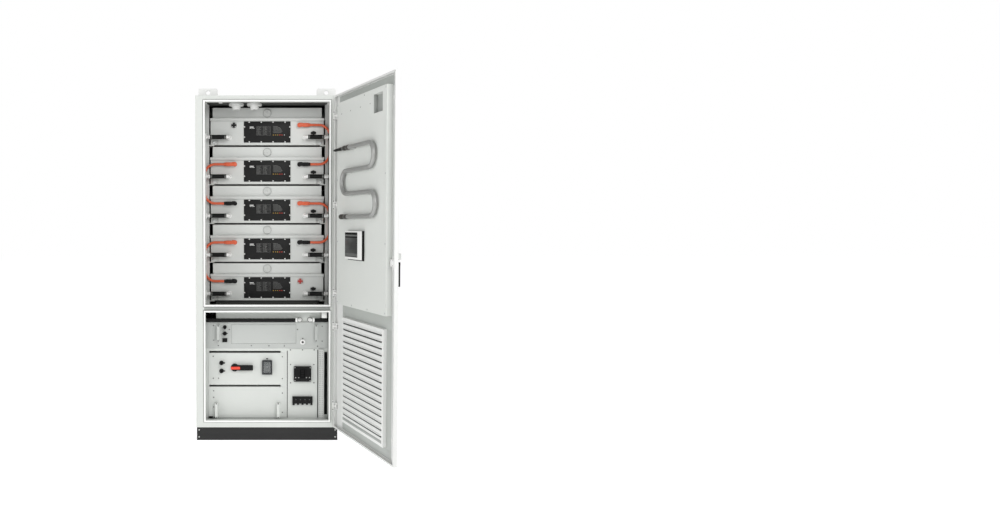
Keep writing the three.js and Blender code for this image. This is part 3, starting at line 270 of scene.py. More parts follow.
# Painted shade: a dark grey standing for the shade under the louvre blades.
LOUVRE_SHADE_DARK = finish_of("louvre_slot_painted_shade", "383b3a", 0.9, drift=0.15, worn="5c605e", wear=0.1, grain=300.0,
                        bump=0.001)

SLOT_FINISH = {
    "grey_coat": GREY_COAT, "inner_coat": INNER_COAT, "plinth_coat": PLINTH_COAT, "pack_case": PACK_CASE,
    "pack_lid": PACK_LID, "black_plastic": MOULD_BLACK, "grey_plastic": RAIL_COAT, "orange_lead": LEAD_ORANGE,
    "black_rubber": RUBBER_BLACK, "zinc": ZINC, "clear_cover": SCREEN_DARK, "pipe_metal": PIPE_STEEL,
    "screen_housing": HOUSING_DARK,
}
for part in frame["record"]["subparts"]:
    node = frame["nodes"][part["node"]]
    node.data.materials.clear()
    node.data.materials.append(SLOT_FINISH[part["material_slot"]])
for name, look in (("pack_rail_left", RAIL_COAT), ("pack_rail_right", RAIL_COAT),
                   ("control_box", CONTROL_COAT),
                   ("door_shell", DOOR_COAT), ("door_inner_panel", PANEL_COAT), ("door_louvre", GREY_COAT)):
    frame["nodes"][name].data.materials[0] = look

# ---------------------------------------------------------------- shape helpers


def box(bm, low, high, bevel=0.0, segments=2):
    """A box between two corners, with rounded edges if bevel is given."""
    low, high = Vector(low), Vector(high)
    centre = (low + high) / 2
    size = high - low
    made = bmesh.ops.create_cube(bm, size=1.0)["verts"]
    bmesh.ops.transform(bm, matrix=Matrix.Translation(centre) @ Matrix.Diagonal((*size, 1.0)), verts=made)
    if bevel:
        edges = list({e for v in made for e in v.link_edges})
        bmesh.ops.bevel(bm, geom=edges, offset=bevel, offset_type="OFFSET", segments=segments, profile=0.5,
                        affect="EDGES", material=-1)
    return made


AXES = {"x": Vector((1, 0, 0)), "y": Vector((0, 1, 0)), "z": Vector((0, 0, 1))}


def spin_outline(bm, start, direction, outline, closed, steps):
    """Spins (distance along, radius) pairs about a line from start, and turns the result to its direction."""
    direction = AXES[direction] if isinstance(direction, str) else Vector(direction).normalized()
    turn = direction.to_track_quat("Z", "Y").to_matrix().to_4x4()
    before = set(bm.verts)
    chain = [bm.verts.new((radius, 0, along)) for along, radius in outline]
    edges = [bm.edges.new(pair) for pair in zip(chain, chain[1:] + (chain[:1] if closed else []))]
    bmesh.ops.spin(bm, geom=chain + edges, axis=(0, 0, 1), cent=(0, 0, 0), steps=steps, angle=2 * math.pi,
                   use_merge=True, use_duplicate=False)
    merge_new(bm, before)
    made = [v for v in bm.verts if v not in before]
    bmesh.ops.transform(bm, matrix=Matrix.Translation(Vector(start)) @ turn, verts=made)
    return made


def merge_new(bm, before):
    """Merges the doubles of what was made since before, and turns its faces outwards."""
    bmesh.ops.remove_doubles(bm, verts=[v for v in bm.verts if v not in before], dist=1e-6)
    faces = {f for v in bm.verts if v not in before for f in v.link_faces}
    bmesh.ops.recalc_face_normals(bm, faces=list(faces))


def lathe(bm, start, direction, profile, steps=24):
    """A solid of revolution. The profile begins and ends on the line."""
    return spin_outline(bm, start, direction, profile, False, steps)


def disc_rod(bm, start, direction, length, radius, chamfer=0.001, steps=20):
    c = min(chamfer, radius / 3, length / 3)
    return lathe(bm, start, direction, [
        (0, 0), (0, radius - c), (c, radius), (length - c, radius), (length, radius - c), (length, 0),
    ], steps)


def ring(bm, start, direction, length, outer, inner, steps=24):
    """A short open ring, such as a collar or a washer."""
    c = min(0.0008, (outer - inner) / 4, length / 4)
    outline = [(0, inner), (0, outer - c), (c, outer), (length - c, outer), (length, outer - c),
               (length, inner)]
    return spin_outline(bm, start, direction, outline, True, steps)


def round_corners(corners, radius, steps=8):
    """Points along straight runs with a round bend at each inner corner."""
    points = [Vector(corners[0])]
    for before, corner, after in zip(corners, corners[1:], corners[2:]):
        corner = Vector(corner)
        back = (Vector(before) - corner).normalized()
        on = (Vector(after) - corner).normalized()
        half = back.angle(on) / 2
        centre = corner + (back + on).normalized() * (radius / math.sin(half))
        reach = radius / math.tan(half)
        start, end = corner + back * reach - centre, corner + on * reach - centre
        sweep = math.pi - 2 * half
        for step in range(steps + 1):
            part = sweep * step / steps
            points.append(centre + start * (math.sin(sweep - part) / math.sin(sweep))
                          + end * (math.sin(part) / math.sin(sweep)))
    points.append(Vector(corners[-1]))
    kept = [points[0]]
    for point in points[1:]:
        if (point - kept[-1]).length > 1e-5:
            kept.append(point)
    return kept


def tube(bm, points, radius, sides=16):
    """A round tube with closed ends: a curve with a round section, made into mesh."""
    curve = bpy.data.curves.new("tube_path", "CURVE")
    curve.dimensions = "3D"
    curve.bevel_depth = radius
    curve.bevel_resolution = max(0, sides // 4 - 1)
    curve.use_fill_caps = True
    spline = curve.splines.new("POLY")
    spline.points.add(len(points) - 1)
    for point, at in zip(spline.points, points):
        point.co = (*at, 1.0)
    holder = bpy.data.objects.new("tube_path", curve)
    SCENE.collection.objects.link(holder)
    bpy.context.view_layer.update()
    mesh = bpy.data.meshes.new_from_object(holder.evaluated_get(bpy.context.evaluated_depsgraph_get()))
    bpy.data.objects.remove(holder)
    before = set(bm.verts)
    bm.from_mesh(mesh)
    bpy.data.meshes.remove(mesh)
    merge_new(bm, before)


def piece(name, build, material, body, stands_for=(), place=None, smooth=35.0):
    """Runs build on a new bmesh and makes the result a piece that rides on a body."""
    bm = bmesh.new()
    build(bm)
    if place is not None:
        bmesh.ops.transform(bm, matrix=place, verts=bm.verts[:])
    for face in bm.faces:
        face.smooth = True
    mesh = bpy.data.meshes.new(name)
    bm.to_mesh(mesh)
    bm.free()
    mesh.set_sharp_from_angle(angle=math.radians(smooth))
    mesh.materials.append(material)
    made = bpy.data.objects.new(name, mesh)
    SCENE.collection.objects.link(made)
    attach(made, body)
    if stands_for:
        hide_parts(*stands_for)
    return made


def cabinet(name, build, material, stands_for=()):
    return piece(name, build, material, "cabinet", stands_for)


def on_door(name, build, material, stands_for=(), body="door"):
    """A piece drawn on the shut door, with the hinge pin on the Z axis, and turned to the open door."""
    return piece(name, build, material, body, stands_for, place=DOOR_TURN)


# ---------------------------------------------------------------- small parts used in many places


def screw(bm, at, direction="-y", radius=0.0042, proud=0.0016):
    """A low domed screw head. Its recess is a shallow socket."""
    turn = {"-y": (0, -1, 0), "+y": (0, 1, 0), "-x": (-1, 0, 0), "+x": (1, 0, 0), "+z": (0, 0, 1)}[direction]
    lathe(bm, at, turn, [
        (0, 0), (0, radius), (proud * 0.5, radius), (proud, radius * 0.72), (proud, radius * 0.34),
        (proud * 0.35, radius * 0.3), (proud * 0.35, 0),
    ], 12)


def screws(places, direction="-y", radius=0.0042, proud=0.0016):
    def build(bm):
        for at in places:
            screw(bm, at, direction, radius, proud)
    return build


def hex_bolt(bm, at, direction, across, height):
    direction = Vector(direction)
    made = lathe(bm, at, direction, [
        (0, 0), (0, across * 0.66), (height * 0.2, across * 0.66), (height * 0.2, across / 2 * 1.12),
        (height * 0.92, across / 2 * 1.12), (height, across / 2), (height, 0),
    ], 6)
    return made


def rect_ring(bm, x0, x1, z0, z1, width, y0, y1, bevel=0.001):
    """A flat rectangular frame in XZ, width across, between y0 (front) and y1, its front edges rounded."""
    corners = [bm.verts.new((x, y1, z)) for x, z in ((x0, z0), (x1, z0), (x1, z1), (x0, z1))]
    face = bm.faces.new(corners)
    face.normal_update()
    inner = bmesh.ops.inset_region(bm, faces=[face], thickness=width, use_even_offset=True, use_boundary=True)
    rim = inner["faces"]
    bmesh.ops.delete(bm, geom=[face], context="FACES_ONLY")
    pushed = bmesh.ops.extrude_face_region(bm, geom=rim)
    moved = [g for g in pushed["geom"] if isinstance(g, bmesh.types.BMVert)]
    bmesh.ops.translate(bm, vec=(0, y0 - y1, 0), verts=moved)
    front = [g for g in pushed["geom"] if isinstance(g, bmesh.types.BMFace)]
    whole = set(moved) | {v for f in rim if f.is_valid for v in f.verts}
    bmesh.ops.recalc_face_normals(bm, faces=list({f for v in whole for f in v.link_faces}))
    if bevel:
        edges = list({e for f in front for e in f.edges})
        bmesh.ops.bevel(bm, geom=edges, offset=bevel, offset_type="OFFSET", segments=2, profile=0.5,
                        affect="EDGES", material=-1)


# ---------------------------------------------------------------- frame, roof and plinth

FACE_Y = -0.650  # the front frame's face behind its raised lips
LIP_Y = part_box("front_frame")[0].y
UPPER_OPENING = (-0.415, 0.415, 0.921, 2.277)
LOWER_OPENING = (-0.415, 0.415, 0.138, 0.870)


def door_seals(bm):
    for x0, x1, z0, z1 in (UPPER_OPENING, LOWER_OPENING):
        rect_ring(bm, x0 - 0.0118, x1 + 0.0118, z0 - 0.0118, z1 + 0.0118, 0.0112, LIP_Y - 0.004,
                  LIP_Y - 0.0002, 0.0016)


cabinet("door_seals", door_seals, SEAL_GREY)


def seal_shadow_lines(bm):
    """A narrow dark line outside each seal: painted shadow beside the raised lip."""
    for x0, x1, z0, z1 in (UPPER_OPENING, LOWER_OPENING):
        rect_ring(bm, x0 - 0.0165, x1 + 0.0165, z0 - 0.0165, z1 + 0.0165, 0.0044, FACE_Y - 0.0006,
                  FACE_Y - 0.0001,
                  0.0002)


cabinet("seal_shadow_lines", seal_shadow_lines, INK_AND_SHADOW_GREY)


def rail_recess(bm):
    """The sunk face of the rail between the two bays, painted a little darker than the frame as painted shade of
    the recess.
    """
    box(bm, (-0.424, FACE_Y - 0.0006, 0.8830), (0.424, FACE_Y - 0.0001, 0.9085), 0.0002)


cabinet("rail_recess", rail_recess, RECESS_PAINTED_SHADE)


PLINTH_LO, PLINTH_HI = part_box("plinth")
cabinet("plinth_bolts", screws([
    (side * 0.461, PLINTH_LO.y, z) for side in (-1, 1) for z in (0.022, 0.070)
], radius=0.0050, proud=0.0026), RAIL_COAT)


def plinth_side_covers(bm):
    for side in (-1, 1):
        x = side * PLINTH_HI.x
        for y0, y1 in ((PLINTH_LO.y + 0.05, -0.02), (0.02, PLINTH_HI.y - 0.05)):
            inner, outer = sorted((x + side * 0.0002, x + side * 0.0014))
            box(bm, (inner, y0, 0.012), (outer, y1, 0.076), 0.0004)


cabinet("plinth_side_covers", plinth_side_covers, finish_of(
    "plinth_side_grey", "8f8f8f", 0.5, drift=0.08, worn="b4b4b2"))
cabinet("plinth_side_screws", lambda bm: [
    screw(bm, (side * (PLINTH_HI.x + 0.0014), y, z), "+x" if side > 0 else "-x", 0.005, 0.0015)
    for side in (-1, 1) for y in (-0.57, -0.05, 0.05, 0.57) for z in (0.022, 0.066)
], ZINC)


def lug_bolts(bm):
    for name in ("front_left", "front_right", "rear_left", "rear_right"):
        low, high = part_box("lifting_lug_" + name)
        inward = 1 if low.y < 0 else -1
        y = (low.y + 0.045) if inward > 0 else (high.y - 0.045)
        for x in (low.x + 0.030, high.x - 0.030):
            hex_bolt(bm, (x, y, low.z + 0.008), (0, 0, 1), 0.019, 0.0095)


cabinet("lug_bolts", lug_bolts, ZINC)


def lug_eye_rings(bm):
    for name in ("front_left", "front_right", "rear_left", "rear_right"):
        low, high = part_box("lifting_lug_" + name)
        front = low.y if low.y < 0 else high.y - 0.010
        ring(bm, ((low.x + high.x) / 2, front - 0.0012, high.z - 0.028), "y", 0.0124, 0.0185, 0.0141, 28)


cabinet("lug_eye_rings", lug_eye_rings, GREY_COAT)

GLAND_WHITE = finish_of("gland_grey", "d9dad8", 0.4, drift=0.05, worn="f2f2f0")
for number in (1, 2):
    low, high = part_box(f"cable_gland_{number}")
    centre = (low + high) / 2

    def gland(bm, low=low, high=high, centre=centre):
        lathe(bm, (centre.x, centre.y, high.z), (0, 0, -1), [
            (0, 0), (0, 0.034), (0.006, 0.034), (0.006, 0.049), (0.008, 0.051), (0.020, 0.051),
            (0.023, 0.048),
            (0.023, 0.031), (0.027, 0.029), (0.040, 0.0285), (0.047, 0.026), (0.050, 0.022), (0.050, 0.014),
            (0.036, 0.013), (0.036, 0),
        ], 36)

    def gland_insert(bm, low=low, high=high, centre=centre):
        lathe(bm, (centre.x, centre.y, high.z - 0.036), (0, 0, -1), [
            (0, 0), (0, 0.0128), (0.010, 0.0125), (0.012, 0.010), (0.010, 0.006), (0.010, 0),
        ], 24)

    cabinet(f"gland_body_{number}", gland, GLAND_WHITE, [f"cable_gland_{number}"])
    cabinet(f"gland_insert_{number}", gland_insert, RUBBER_BLACK)


# Painted shade: a dark sheet under the ceiling, where the frame's header shades it.
def ceiling_painted_shade(bm):
    box(bm, (-0.412, -0.6185, 2.2886), (0.412, -0.270, 2.2896), 0.0003)


cabinet("ceiling_painted_shade", ceiling_painted_shade, finish_of(
    "ceiling_painted_shade_dark", "4a4c4a", 0.7, drift=0.1, worn="5c5e5c", sheen=0.3))


def ceiling_lamp(bm):
    box(bm, (-0.328, -0.585, 2.2795), (-0.303, -0.555, 2.2897), 0.003, 3)
    disc_rod(bm, (-0.3155, -0.587, 2.284), "y", 0.004, 0.003)


cabinet("ceiling_lamp", ceiling_lamp, FITTING_WHITE)

# ---------------------------------------------------------------- battery packs

TRAY_FRONT = -0.435
SOCKET_X = 0.230
SOCKET_UP = 0.1352  # above the tray's bottom, by the frame's own layout
HOSE_UP = 0.050
DOT_X = (0.043, 0.059, 0.073, 0.088, 0.103, 0.120)


def tray_bottom(pack):
    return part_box(f"pack_{pack}_tray")[0].z


for pack in PACKS:
    z = tray_bottom(pack)
    low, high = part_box(f"pack_{pack}_cover")
    lid_low, lid_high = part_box(f"pack_{pack}_lid")

    def cover(bm, low=low, high=high):
        box(bm, low, high, 0.0012)
        rect_ring(bm, low.x + 0.012, high.x - 0.012, low.z + 0.012, high.z - 0.012, 0.0022,
                  low.y - 0.0007, low.y + 0.0002, 0.0003)

    def cover_screws(bm, low=low, high=high):
        for x in (-0.124, -0.041, 0.041, 0.124):
            for up in (low.z + 0.005, high.z - 0.005):
                screw(bm, (x, low.y, up), radius=0.0046, proud=0.0026)
        for side in (-1, 1):
            for share in (0.26, 0.74):
                screw(bm, (side * 0.1575, low.y, low.z + (high.z - low.z) * share), radius=0.0046,
                      proud=0.0026)

    def cover_print(bm, low=low, high=high):
        """A plain data table and a block of text lines, as printed bars with no words."""
        face = low.y - 0.0002
        top = high.z - 0.034

        def bar(x0, x1, z0, z1):
            box(bm, (x0, face - 0.0003, z0), (x1, face, z1))

        for x in (-0.073, -0.026, 0.021):
            bar(x, x + 0.0010, top - 0.062, top)
        for row in range(8):
            bar(-0.073, 0.0220, top - 0.0008 - row * 0.0087, top - row * 0.0087)
        for row in range(7):
            width = (0.030, 0.026, 0.033, 0.022, 0.030, 0.028, 0.034)[row]
            bar(-0.069, -0.069 + width * 0.8, top - 0.0056 - row * 0.0087, top - 0.0042 - row * 0.0087)
            bar(-0.020, -0.020 + width * 0.6, top - 0.0056 - row * 0.0087, top - 0.0042 - row * 0.0087)
        for row, width in enumerate((0.034, 0.050, 0.056, 0.060, 0.064, 0.068, 0.060)):
            bar(0.042, 0.042 + width * 0.95, top - 0.0015 - row * 0.0072, top - row * 0.0072)

    def cover_mark(bm, low=low, high=high):
        """A plain bar and two short ones, where a nameplate would be."""
        face = low.y - 0.0002
        top = high.z - 0.0450
        for x0, x1, up0, up1 in ((-0.121, -0.094, 0.003, 0.0085), (-0.121, -0.108, -0.0040, -0.0010),
                                 (-0.104, -0.088, -0.0040, -0.0010)):
            box(bm, (x0, face - 0.0003, top + up0), (x1, face, top + up1))

    def status_dots(bm, low=low, high=high, places=(0,)):
        for k in places:
            disc_rod(bm, (DOT_X[k], low.y - 0.0009, high.z - 0.0935), "y", 0.0008, 0.0030, steps=12)

    cabinet(f"pack_{pack}_cover_plate", cover, PLATE_BLACK, [f"pack_{pack}_cover"])
    cabinet(f"pack_{pack}_cover_screws", cover_screws, FITTING_WHITE)
    cabinet(f"pack_{pack}_cover_print", cover_print, INK_AND_SHADOW_GREY)
    cabinet(f"pack_{pack}_cover_mark", cover_mark, INK_WHITE)
    cabinet(f"pack_{pack}_amber_marks", lambda bm, f=status_dots: f(bm, places=(0, 1, 2)), INK_AMBER)
    cabinet(f"pack_{pack}_red_marks", lambda bm, f=status_dots: f(bm, places=(3, 4)), LEVER_RED)
    cabinet(f"pack_{pack}_white_marks", lambda bm, f=status_dots: f(bm, places=(5,)), INK_WHITE)

    def lid_vent(bm, lid=lid_low, up=(lid_low.z + lid_high.z) / 2):
        lathe(bm, (0, lid.y + 0.0042, up), (0, -1, 0), [
            (0, 0), (0, 0.0265), (0.008, 0.0265), (0.0095, 0.025), (0.0095, 0.021), (0.0075, 0.020),
            (0.0075, 0.007), (0.009, 0.006), (0.009, 0),
        ], 32)

    cabinet(f"pack_{pack}_lid_vent", lid_vent, RAIL_COAT)

    # Painted shadow: a dark line under each lid's flange and a dark ring round its vent.
    def painted_shadow_lines(bm, lid=lid_low, z=z, up=(lid_low.z + lid_high.z) / 2):
        flange = lid_low.z - 0.018
        box(bm, (-0.394, TRAY_FRONT - 0.0006, flange - 0.0030), (0.394, TRAY_FRONT - 0.0001, flange - 0.0004))
        ring(bm, (0, lid.y - 0.0012, up), "y", 0.0011, 0.0290, 0.0264, 32)

    cabinet(f"pack_{pack}_seams", painted_shadow_lines, RECESS_PAINTED_SHADE)

    def lid_screws(bm, lid=lid_low, top=z + 0.1835):
        for x in (-0.372, -0.30, -0.20, -0.10, 0.0, 0.10, 0.20, 0.30, 0.372):
            lathe(bm, (x, -0.4315, top), (0, 0, 1), [
                (0, 0), (0, 0.0055), (0.003, 0.005), (0.004, 0.003), (0.004, 0)], 10)

    cabinet(f"pack_{pack}_flange_screws", lid_screws, ZINC)

    def side_tabs(bm, z=z):
        for side in (-1, 1):
            inner, outer = sorted((side * 0.343, side * 0.390))
            box(bm, (inner, TRAY_FRONT - 0.0045, z + 0.001), (outer, TRAY_FRONT - 0.0003, z + 0.033), 0.001)
            inner, outer = sorted((side * 0.3385, side * 0.343))
            box(bm, (inner, TRAY_FRONT - 0.012, z + 0.001), (outer, TRAY_FRONT - 0.0003, z + 0.033), 0.001)

    def side_tab_bolts(bm, z=z):
        for side in (-1, 1):
            hex_bolt(bm, (side * 0.372, TRAY_FRONT - 0.0045, z + 0.017), (0, -1, 0), 0.011, 0.005)
            screw(bm, (side * 0.3535, TRAY_FRONT - 0.0045, z + 0.017), radius=0.0036)

    cabinet(f"pack_{pack}_side_tabs", side_tabs, RAIL_COAT)
    cabinet(f"pack_{pack}_side_tab_bolts", side_tab_bolts, ZINC)

    def signal_plug(bm, z=z + 0.082):
        box(bm, (0.3020, TRAY_FRONT - 0.012, z - 0.0085), (0.3390, TRAY_FRONT - 0.0003, z + 0.0085), 0.0048,
            3)
        lathe(bm, (0.3205, TRAY_FRONT - 0.010, z), (0, -1, 0), [
            (0, 0), (0, 0.0130), (0.010, 0.0125), (0.013, 0.0110), (0.013, 0.0080), (0.010, 0.0075),
            (0.010, 0)], 20)

    cabinet(f"pack_{pack}_signal_plug", signal_plug, MOULD_BLACK)

    def port_bezels(bm, z=z + SOCKET_UP):
        for side in (-1, 1):
            box(bm, (side * SOCKET_X - 0.026, TRAY_FRONT - 0.0025, z - 0.021),
                (side * SOCKET_X + 0.026, TRAY_FRONT - 0.0003, z + 0.021), 0.001)
            for dx, dz in ((-1, -1), (1, -1), (1, 1), (-1, 1)):
                screw(bm, (side * SOCKET_X + dx * 0.0212, TRAY_FRONT - 0.0025, z + dz * 0.0165),
                      radius=0.0024)

    cabinet(f"pack_{pack}_port_bezels", port_bezels, PACK_LID)


def open_port(bm, x, z):
    """A capped high-voltage port: a ring with a cross-shaped cap over it."""
    ring(bm, (x, -0.4452, z), "y", 0.0088, 0.0185, 0.0172, 28)
    box(bm, (x - 0.0165, -0.4500, z - 0.0062), (x + 0.0165, -0.4434, z + 0.0062), 0.0014)
    box(bm, (x - 0.0062, -0.4502, z - 0.0165), (x + 0.0062, -0.4434, z + 0.0165), 0.0014)


cabinet("open_port_black", lambda bm: open_port(bm, -SOCKET_X, tray_bottom(1) + SOCKET_UP), MOULD_BLACK)
cabinet("open_port_red", lambda bm: open_port(bm, SOCKET_X, tray_bottom(5) + SOCKET_UP), MARK_RED)


# The beam's dark grey is painted shade: it sits in the shadow under the lowest pack.
def sill_beam(bm):
    low = tray_bottom(5)
    box(bm, (-0.360, TRAY_FRONT + 0.006, low - 0.034), (0.360, TRAY_FRONT + 0.030, low - 0.008), 0.0015)


cabinet("sill_beam", sill_beam, SILL_BEAM_SHADE)

# ---------------------------------------------------------------- high-voltage leads

LEAD_Y = -0.4573
LEAD_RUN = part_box("hv_lead_1_2")[1].x - 0.009
LEAD_BEND = 0.072
PLUG_FAR = 0.299


def lead_plug(bm, side, z):
    """A right-angle plug: a round head over the socket, a flat grip and a collar round the lead."""
    def span(near, far):
        return sorted((side * near, side * far))

    lathe(bm, (side * 0.2235, TRAY_FRONT - 0.0002, z), (0, -1, 0), [
        (0, 0), (0, 0.0140), (0.006, 0.0140), (0.008, 0.0155), (0.030, 0.0155), (0.0335, 0.0135),
        (0.0355, 0.0085),
        (0.0355, 0)], 24)
    lo, hi = span(0.2235, 0.2480)
    box(bm, (lo, LEAD_Y - 0.0118, z - 0.0118), (hi, LEAD_Y + 0.0118, z + 0.0125), 0.003, 2)
    lo, hi = span(0.2460, 0.2890)
    box(bm, (lo, LEAD_Y - 0.0128, z - 0.0130), (hi, LEAD_Y + 0.0128, z + 0.0130), 0.0045, 3)
    for k in range(4):
        lo, hi = span(0.2535 + k * 0.0085, 0.2570 + k * 0.0085)
        box(bm, (lo, LEAD_Y - 0.0136, z - 0.0100), (hi, LEAD_Y - 0.0120, z + 0.0100), 0.0006)
    lathe(bm, (side * 0.2885, LEAD_Y, z), (side, 0, 0), [
        (0, 0), (0, 0.0122), (0.007, 0.0118), (0.0105, 0.0100), (0.0105, 0)], 24)
    lo, hi = span(0.2200, 0.2440)
    box(bm, (lo, LEAD_Y - 0.0070, z + 0.0110), (hi, LEAD_Y + 0.0070, z + 0.0160), 0.0012)


def lead_route(side, top, low):
    ends = PLUG_FAR - 0.006
    return round_corners([
        (side * ends, LEAD_Y, top), (side * LEAD_RUN, LEAD_Y, top),
        (side * LEAD_RUN, LEAD_Y, low), (side * ends, LEAD_Y, low),
    ], LEAD_BEND, 12)


for first, side in ((1, 1), (2, -1), (3, 1), (4, -1)):
    top = tray_bottom(first) + SOCKET_UP
    low_end = tray_bottom(first + 1) + SOCKET_UP
    name = f"hv_lead_{first}_{first + 1}"
    cabinet(f"{name}_cable", lambda bm, s=side, a=top, b=low_end: tube(bm, lead_route(s, a, b), 0.0088, 20),
            LEAD_ORANGE, [name])
    cabinet(f"{name}_plug_orange", lambda bm, s=side, a=top: lead_plug(bm, s, a), LEAD_ORANGE)
    cabinet(f"{name}_plug_black", lambda bm, s=side, b=low_end: lead_plug(bm, s, b), MOULD_BLACK)

# ---------------------------------------------------------------- coolant pipes

MAIN_X = 0.434
MAIN_Y = -0.485
TEE_END = 0.396
ELBOW_X = 0.262


def main_pipe(bm, side):
    top = tray_bottom(1) + HOSE_UP
    disc_rod(bm, (side * MAIN_X, MAIN_Y, 0.858), "z", top + 0.022 - 0.858, 0.0138, 0.003, 24)
    for pack in PACKS:
        z = tray_bottom(pack) + HOSE_UP
        ring(bm, (side * MAIN_X, MAIN_Y, z - 0.024), "z", 0.048, 0.0165, 0.0136, 24)


def tees(bm, side):
    for pack in PACKS:
        z = tray_bottom(pack) + HOSE_UP
        lathe(bm, (side * (MAIN_X - 0.012), MAIN_Y, z), (-side, 0, 0), [
            (0, 0), (0, 0.0125), (0.008, 0.0125), (0.008, 0.0105), (0.020, 0.0105), (0.020, 0.0128),
            (0.028, 0.0128), (0.031, 0.0118), (0.031, 0),
        ], 24)


def hoses(bm, side):
    for pack in PACKS:
        z = tray_bottom(pack) + HOSE_UP
        a, b = Vector((side * (TEE_END - 0.004), MAIN_Y, z)), Vector((side * 0.281, MAIN_Y, z))
        tube(bm, [a, (a + b) / 2, b], 0.0150, 20)


def clamps(bm, side):
    for pack in PACKS:
        z = tray_bottom(pack) + HOSE_UP
        for x in (TEE_END - 0.013, 0.289):
            ring(bm, (side * x - 0.0045, MAIN_Y, z), "x", 0.009, 0.0158, 0.0149, 24)
            box(bm, (side * x - 0.004, MAIN_Y - 0.0205, z - 0.0035),
                (side * x + 0.004, MAIN_Y - 0.0150, z + 0.0035),
                0.001)


def elbows(bm, side):
    for pack in PACKS:
        z = tray_bottom(pack) + HOSE_UP
        route = round_corners([
            (side * 0.283, MAIN_Y, z), (side * ELBOW_X, MAIN_Y, z), (side * ELBOW_X, TRAY_FRONT - 0.0006, z),
        ], 0.016, 8)
        tube(bm, route, 0.0112, 20)
        ring(bm, (side * 0.284, MAIN_Y, z), (-side, 0, 0), 0.006, 0.0135, 0.0105, 24)
        lathe(bm, (side * ELBOW_X, TRAY_FRONT - 0.0004, z), (0, -1, 0), [
            (0, 0), (0, 0.017), (0.003, 0.017), (0.003, 0.0145), (0.012, 0.0140), (0.012, 0)], 24)
        disc_rod(bm, (side * (ELBOW_X - 0.0005), MAIN_Y - 0.0125, z), "y", 0.004, 0.0055)


for side, word in ((-1, "left"), (1, "right")):
    pipe_look = FITTING_WHITE if side < 0 else RUBBER_BLACK
    cabinet(f"coolant_main_{word}", lambda bm, s=side: main_pipe(bm, s), pipe_look,
            [f"coolant_set_{word}"])
    cabinet(f"coolant_tees_{word}", lambda bm, s=side: tees(bm, s), FITTING_WHITE)
    cabinet(f"coolant_hoses_{word}", lambda bm, s=side: hoses(bm, s), RUBBER_BLACK)
    cabinet(f"coolant_clamps_{word}", lambda bm, s=side: clamps(bm, s), STEEL_DARK)
    cabinet(f"coolant_elbows_{word}", lambda bm, s=side: elbows(bm, s), FITTING_WHITE)

FEED_Y = -0.604
FEED_Z = 0.812


def feed_hose(bm, side, end):
    route = round_corners([
        (side * MAIN_X, MAIN_Y, 0.858), (side * MAIN_X, MAIN_Y, FEED_Z), (side * MAIN_X, FEED_Y, FEED_Z),
        (end, FEED_Y, FEED_Z),
    ], 0.040, 8)
    tube(bm, route, 0.0123, 20)


def feed_elbow(bm, port, towards):
    route = round_corners([
        (port - towards * 0.026, FEED_Y, FEED_Z), (port, FEED_Y, FEED_Z), (port, -0.5755, FEED_Z),
    ], 0.016, 8)
    tube(bm, route, 0.0098, 20)
    lathe(bm, (port - towards * 0.030, FEED_Y, FEED_Z), (towards, 0, 0), [
        (0, 0), (0, 0.0142), (0.004, 0.0150), (0.012, 0.0150), (0.015, 0.0128), (0.015, 0)], 24)
    lathe(bm, (port, -0.5754, FEED_Z), (0, -1, 0), [
        (0, 0), (0, 0.0138), (0.016, 0.0134), (0.016, 0)], 24)


def feed_collars(bm):
    for port, towards in ((0.222, 1), (0.292, -1)):
        ring(bm, (port, -0.5764, FEED_Z), "y", 0.0010, 0.0175, 0.0138)
        ring(bm, (port - towards * 0.0165, FEED_Y, FEED_Z), (towards, 0, 0), 0.0030, 0.0136, 0.0096)


cabinet("feed_hose_left", lambda bm: feed_hose(bm, -1, 0.196), RUBBER_BLACK)
cabinet("feed_hose_right", lambda bm: feed_hose(bm, 1, 0.318), RUBBER_BLACK)
cabinet("feed_elbows", lambda bm: (feed_elbow(bm, 0.222, 1), feed_elbow(bm, 0.292, -1)), FITTING_WHITE)
cabinet("feed_collars", feed_collars, STEEL_DARK)


# The bracket takes the brighter seal white as painted light, for the light that falls on it.
def feed_bracket(bm):
    box(bm, (0.367, -0.6120, 0.8265), (0.405, -0.6080, 0.8640), 0.0012)
    box(bm, (0.367, -0.6120, 0.8265), (0.371, -0.5500, 0.8640), 0.0012)


cabinet("feed_bracket", feed_bracket, SEAL_GREY)

# ---------------------------------------------------------------- units in the lower bay

PANEL_Y = -0.588
CONTROL_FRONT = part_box("control_box")[0].y


def cover_sheet(bm):
    box(bm, (-0.244, PANEL_Y - 0.0014, 0.650), (0.196, PANEL_Y - 0.0002, 0.778), 0.0005)


cabinet("control_cover_sheet", cover_sheet, CONTROL_COAT)


def control_seams(bm):
    """Narrow dark joints between sheets."""
    for x0, x1, z0, z1 in (
        (-0.2452, -0.2440, 0.6488, 0.7792), (0.1960, 0.1972, 0.6488, 0.7792),
        (-0.2452, 0.1972, 0.6488, 0.6498),
        (-0.2452, 0.1972, 0.7782, 0.7792),
    ):
        box(bm, (x0, PANEL_Y - 0.0006, z0), (x1, PANEL_Y - 0.0001, z1))


cabinet("control_cover_joint", control_seams, STEEL_DARK)


def round_connector(bm, x, z, radius, ears):
    lathe(bm, (x, PANEL_Y - 0.0103, z), (0, -1, 0), [
        (0, 0), (0, radius), (0.004, radius), (0.005, radius * 0.92), (0.016, radius * 0.90),
        (0.018, radius * 0.82),
        (0.018, radius * 0.55), (0.008, radius * 0.5), (0.008, 0)], 28)
    if ears:
        box(bm, (x - radius * 1.35, PANEL_Y - 0.0165, z - 0.0030),
            (x + radius * 1.45, PANEL_Y - 0.0125, z + 0.0030),
            0.0014)


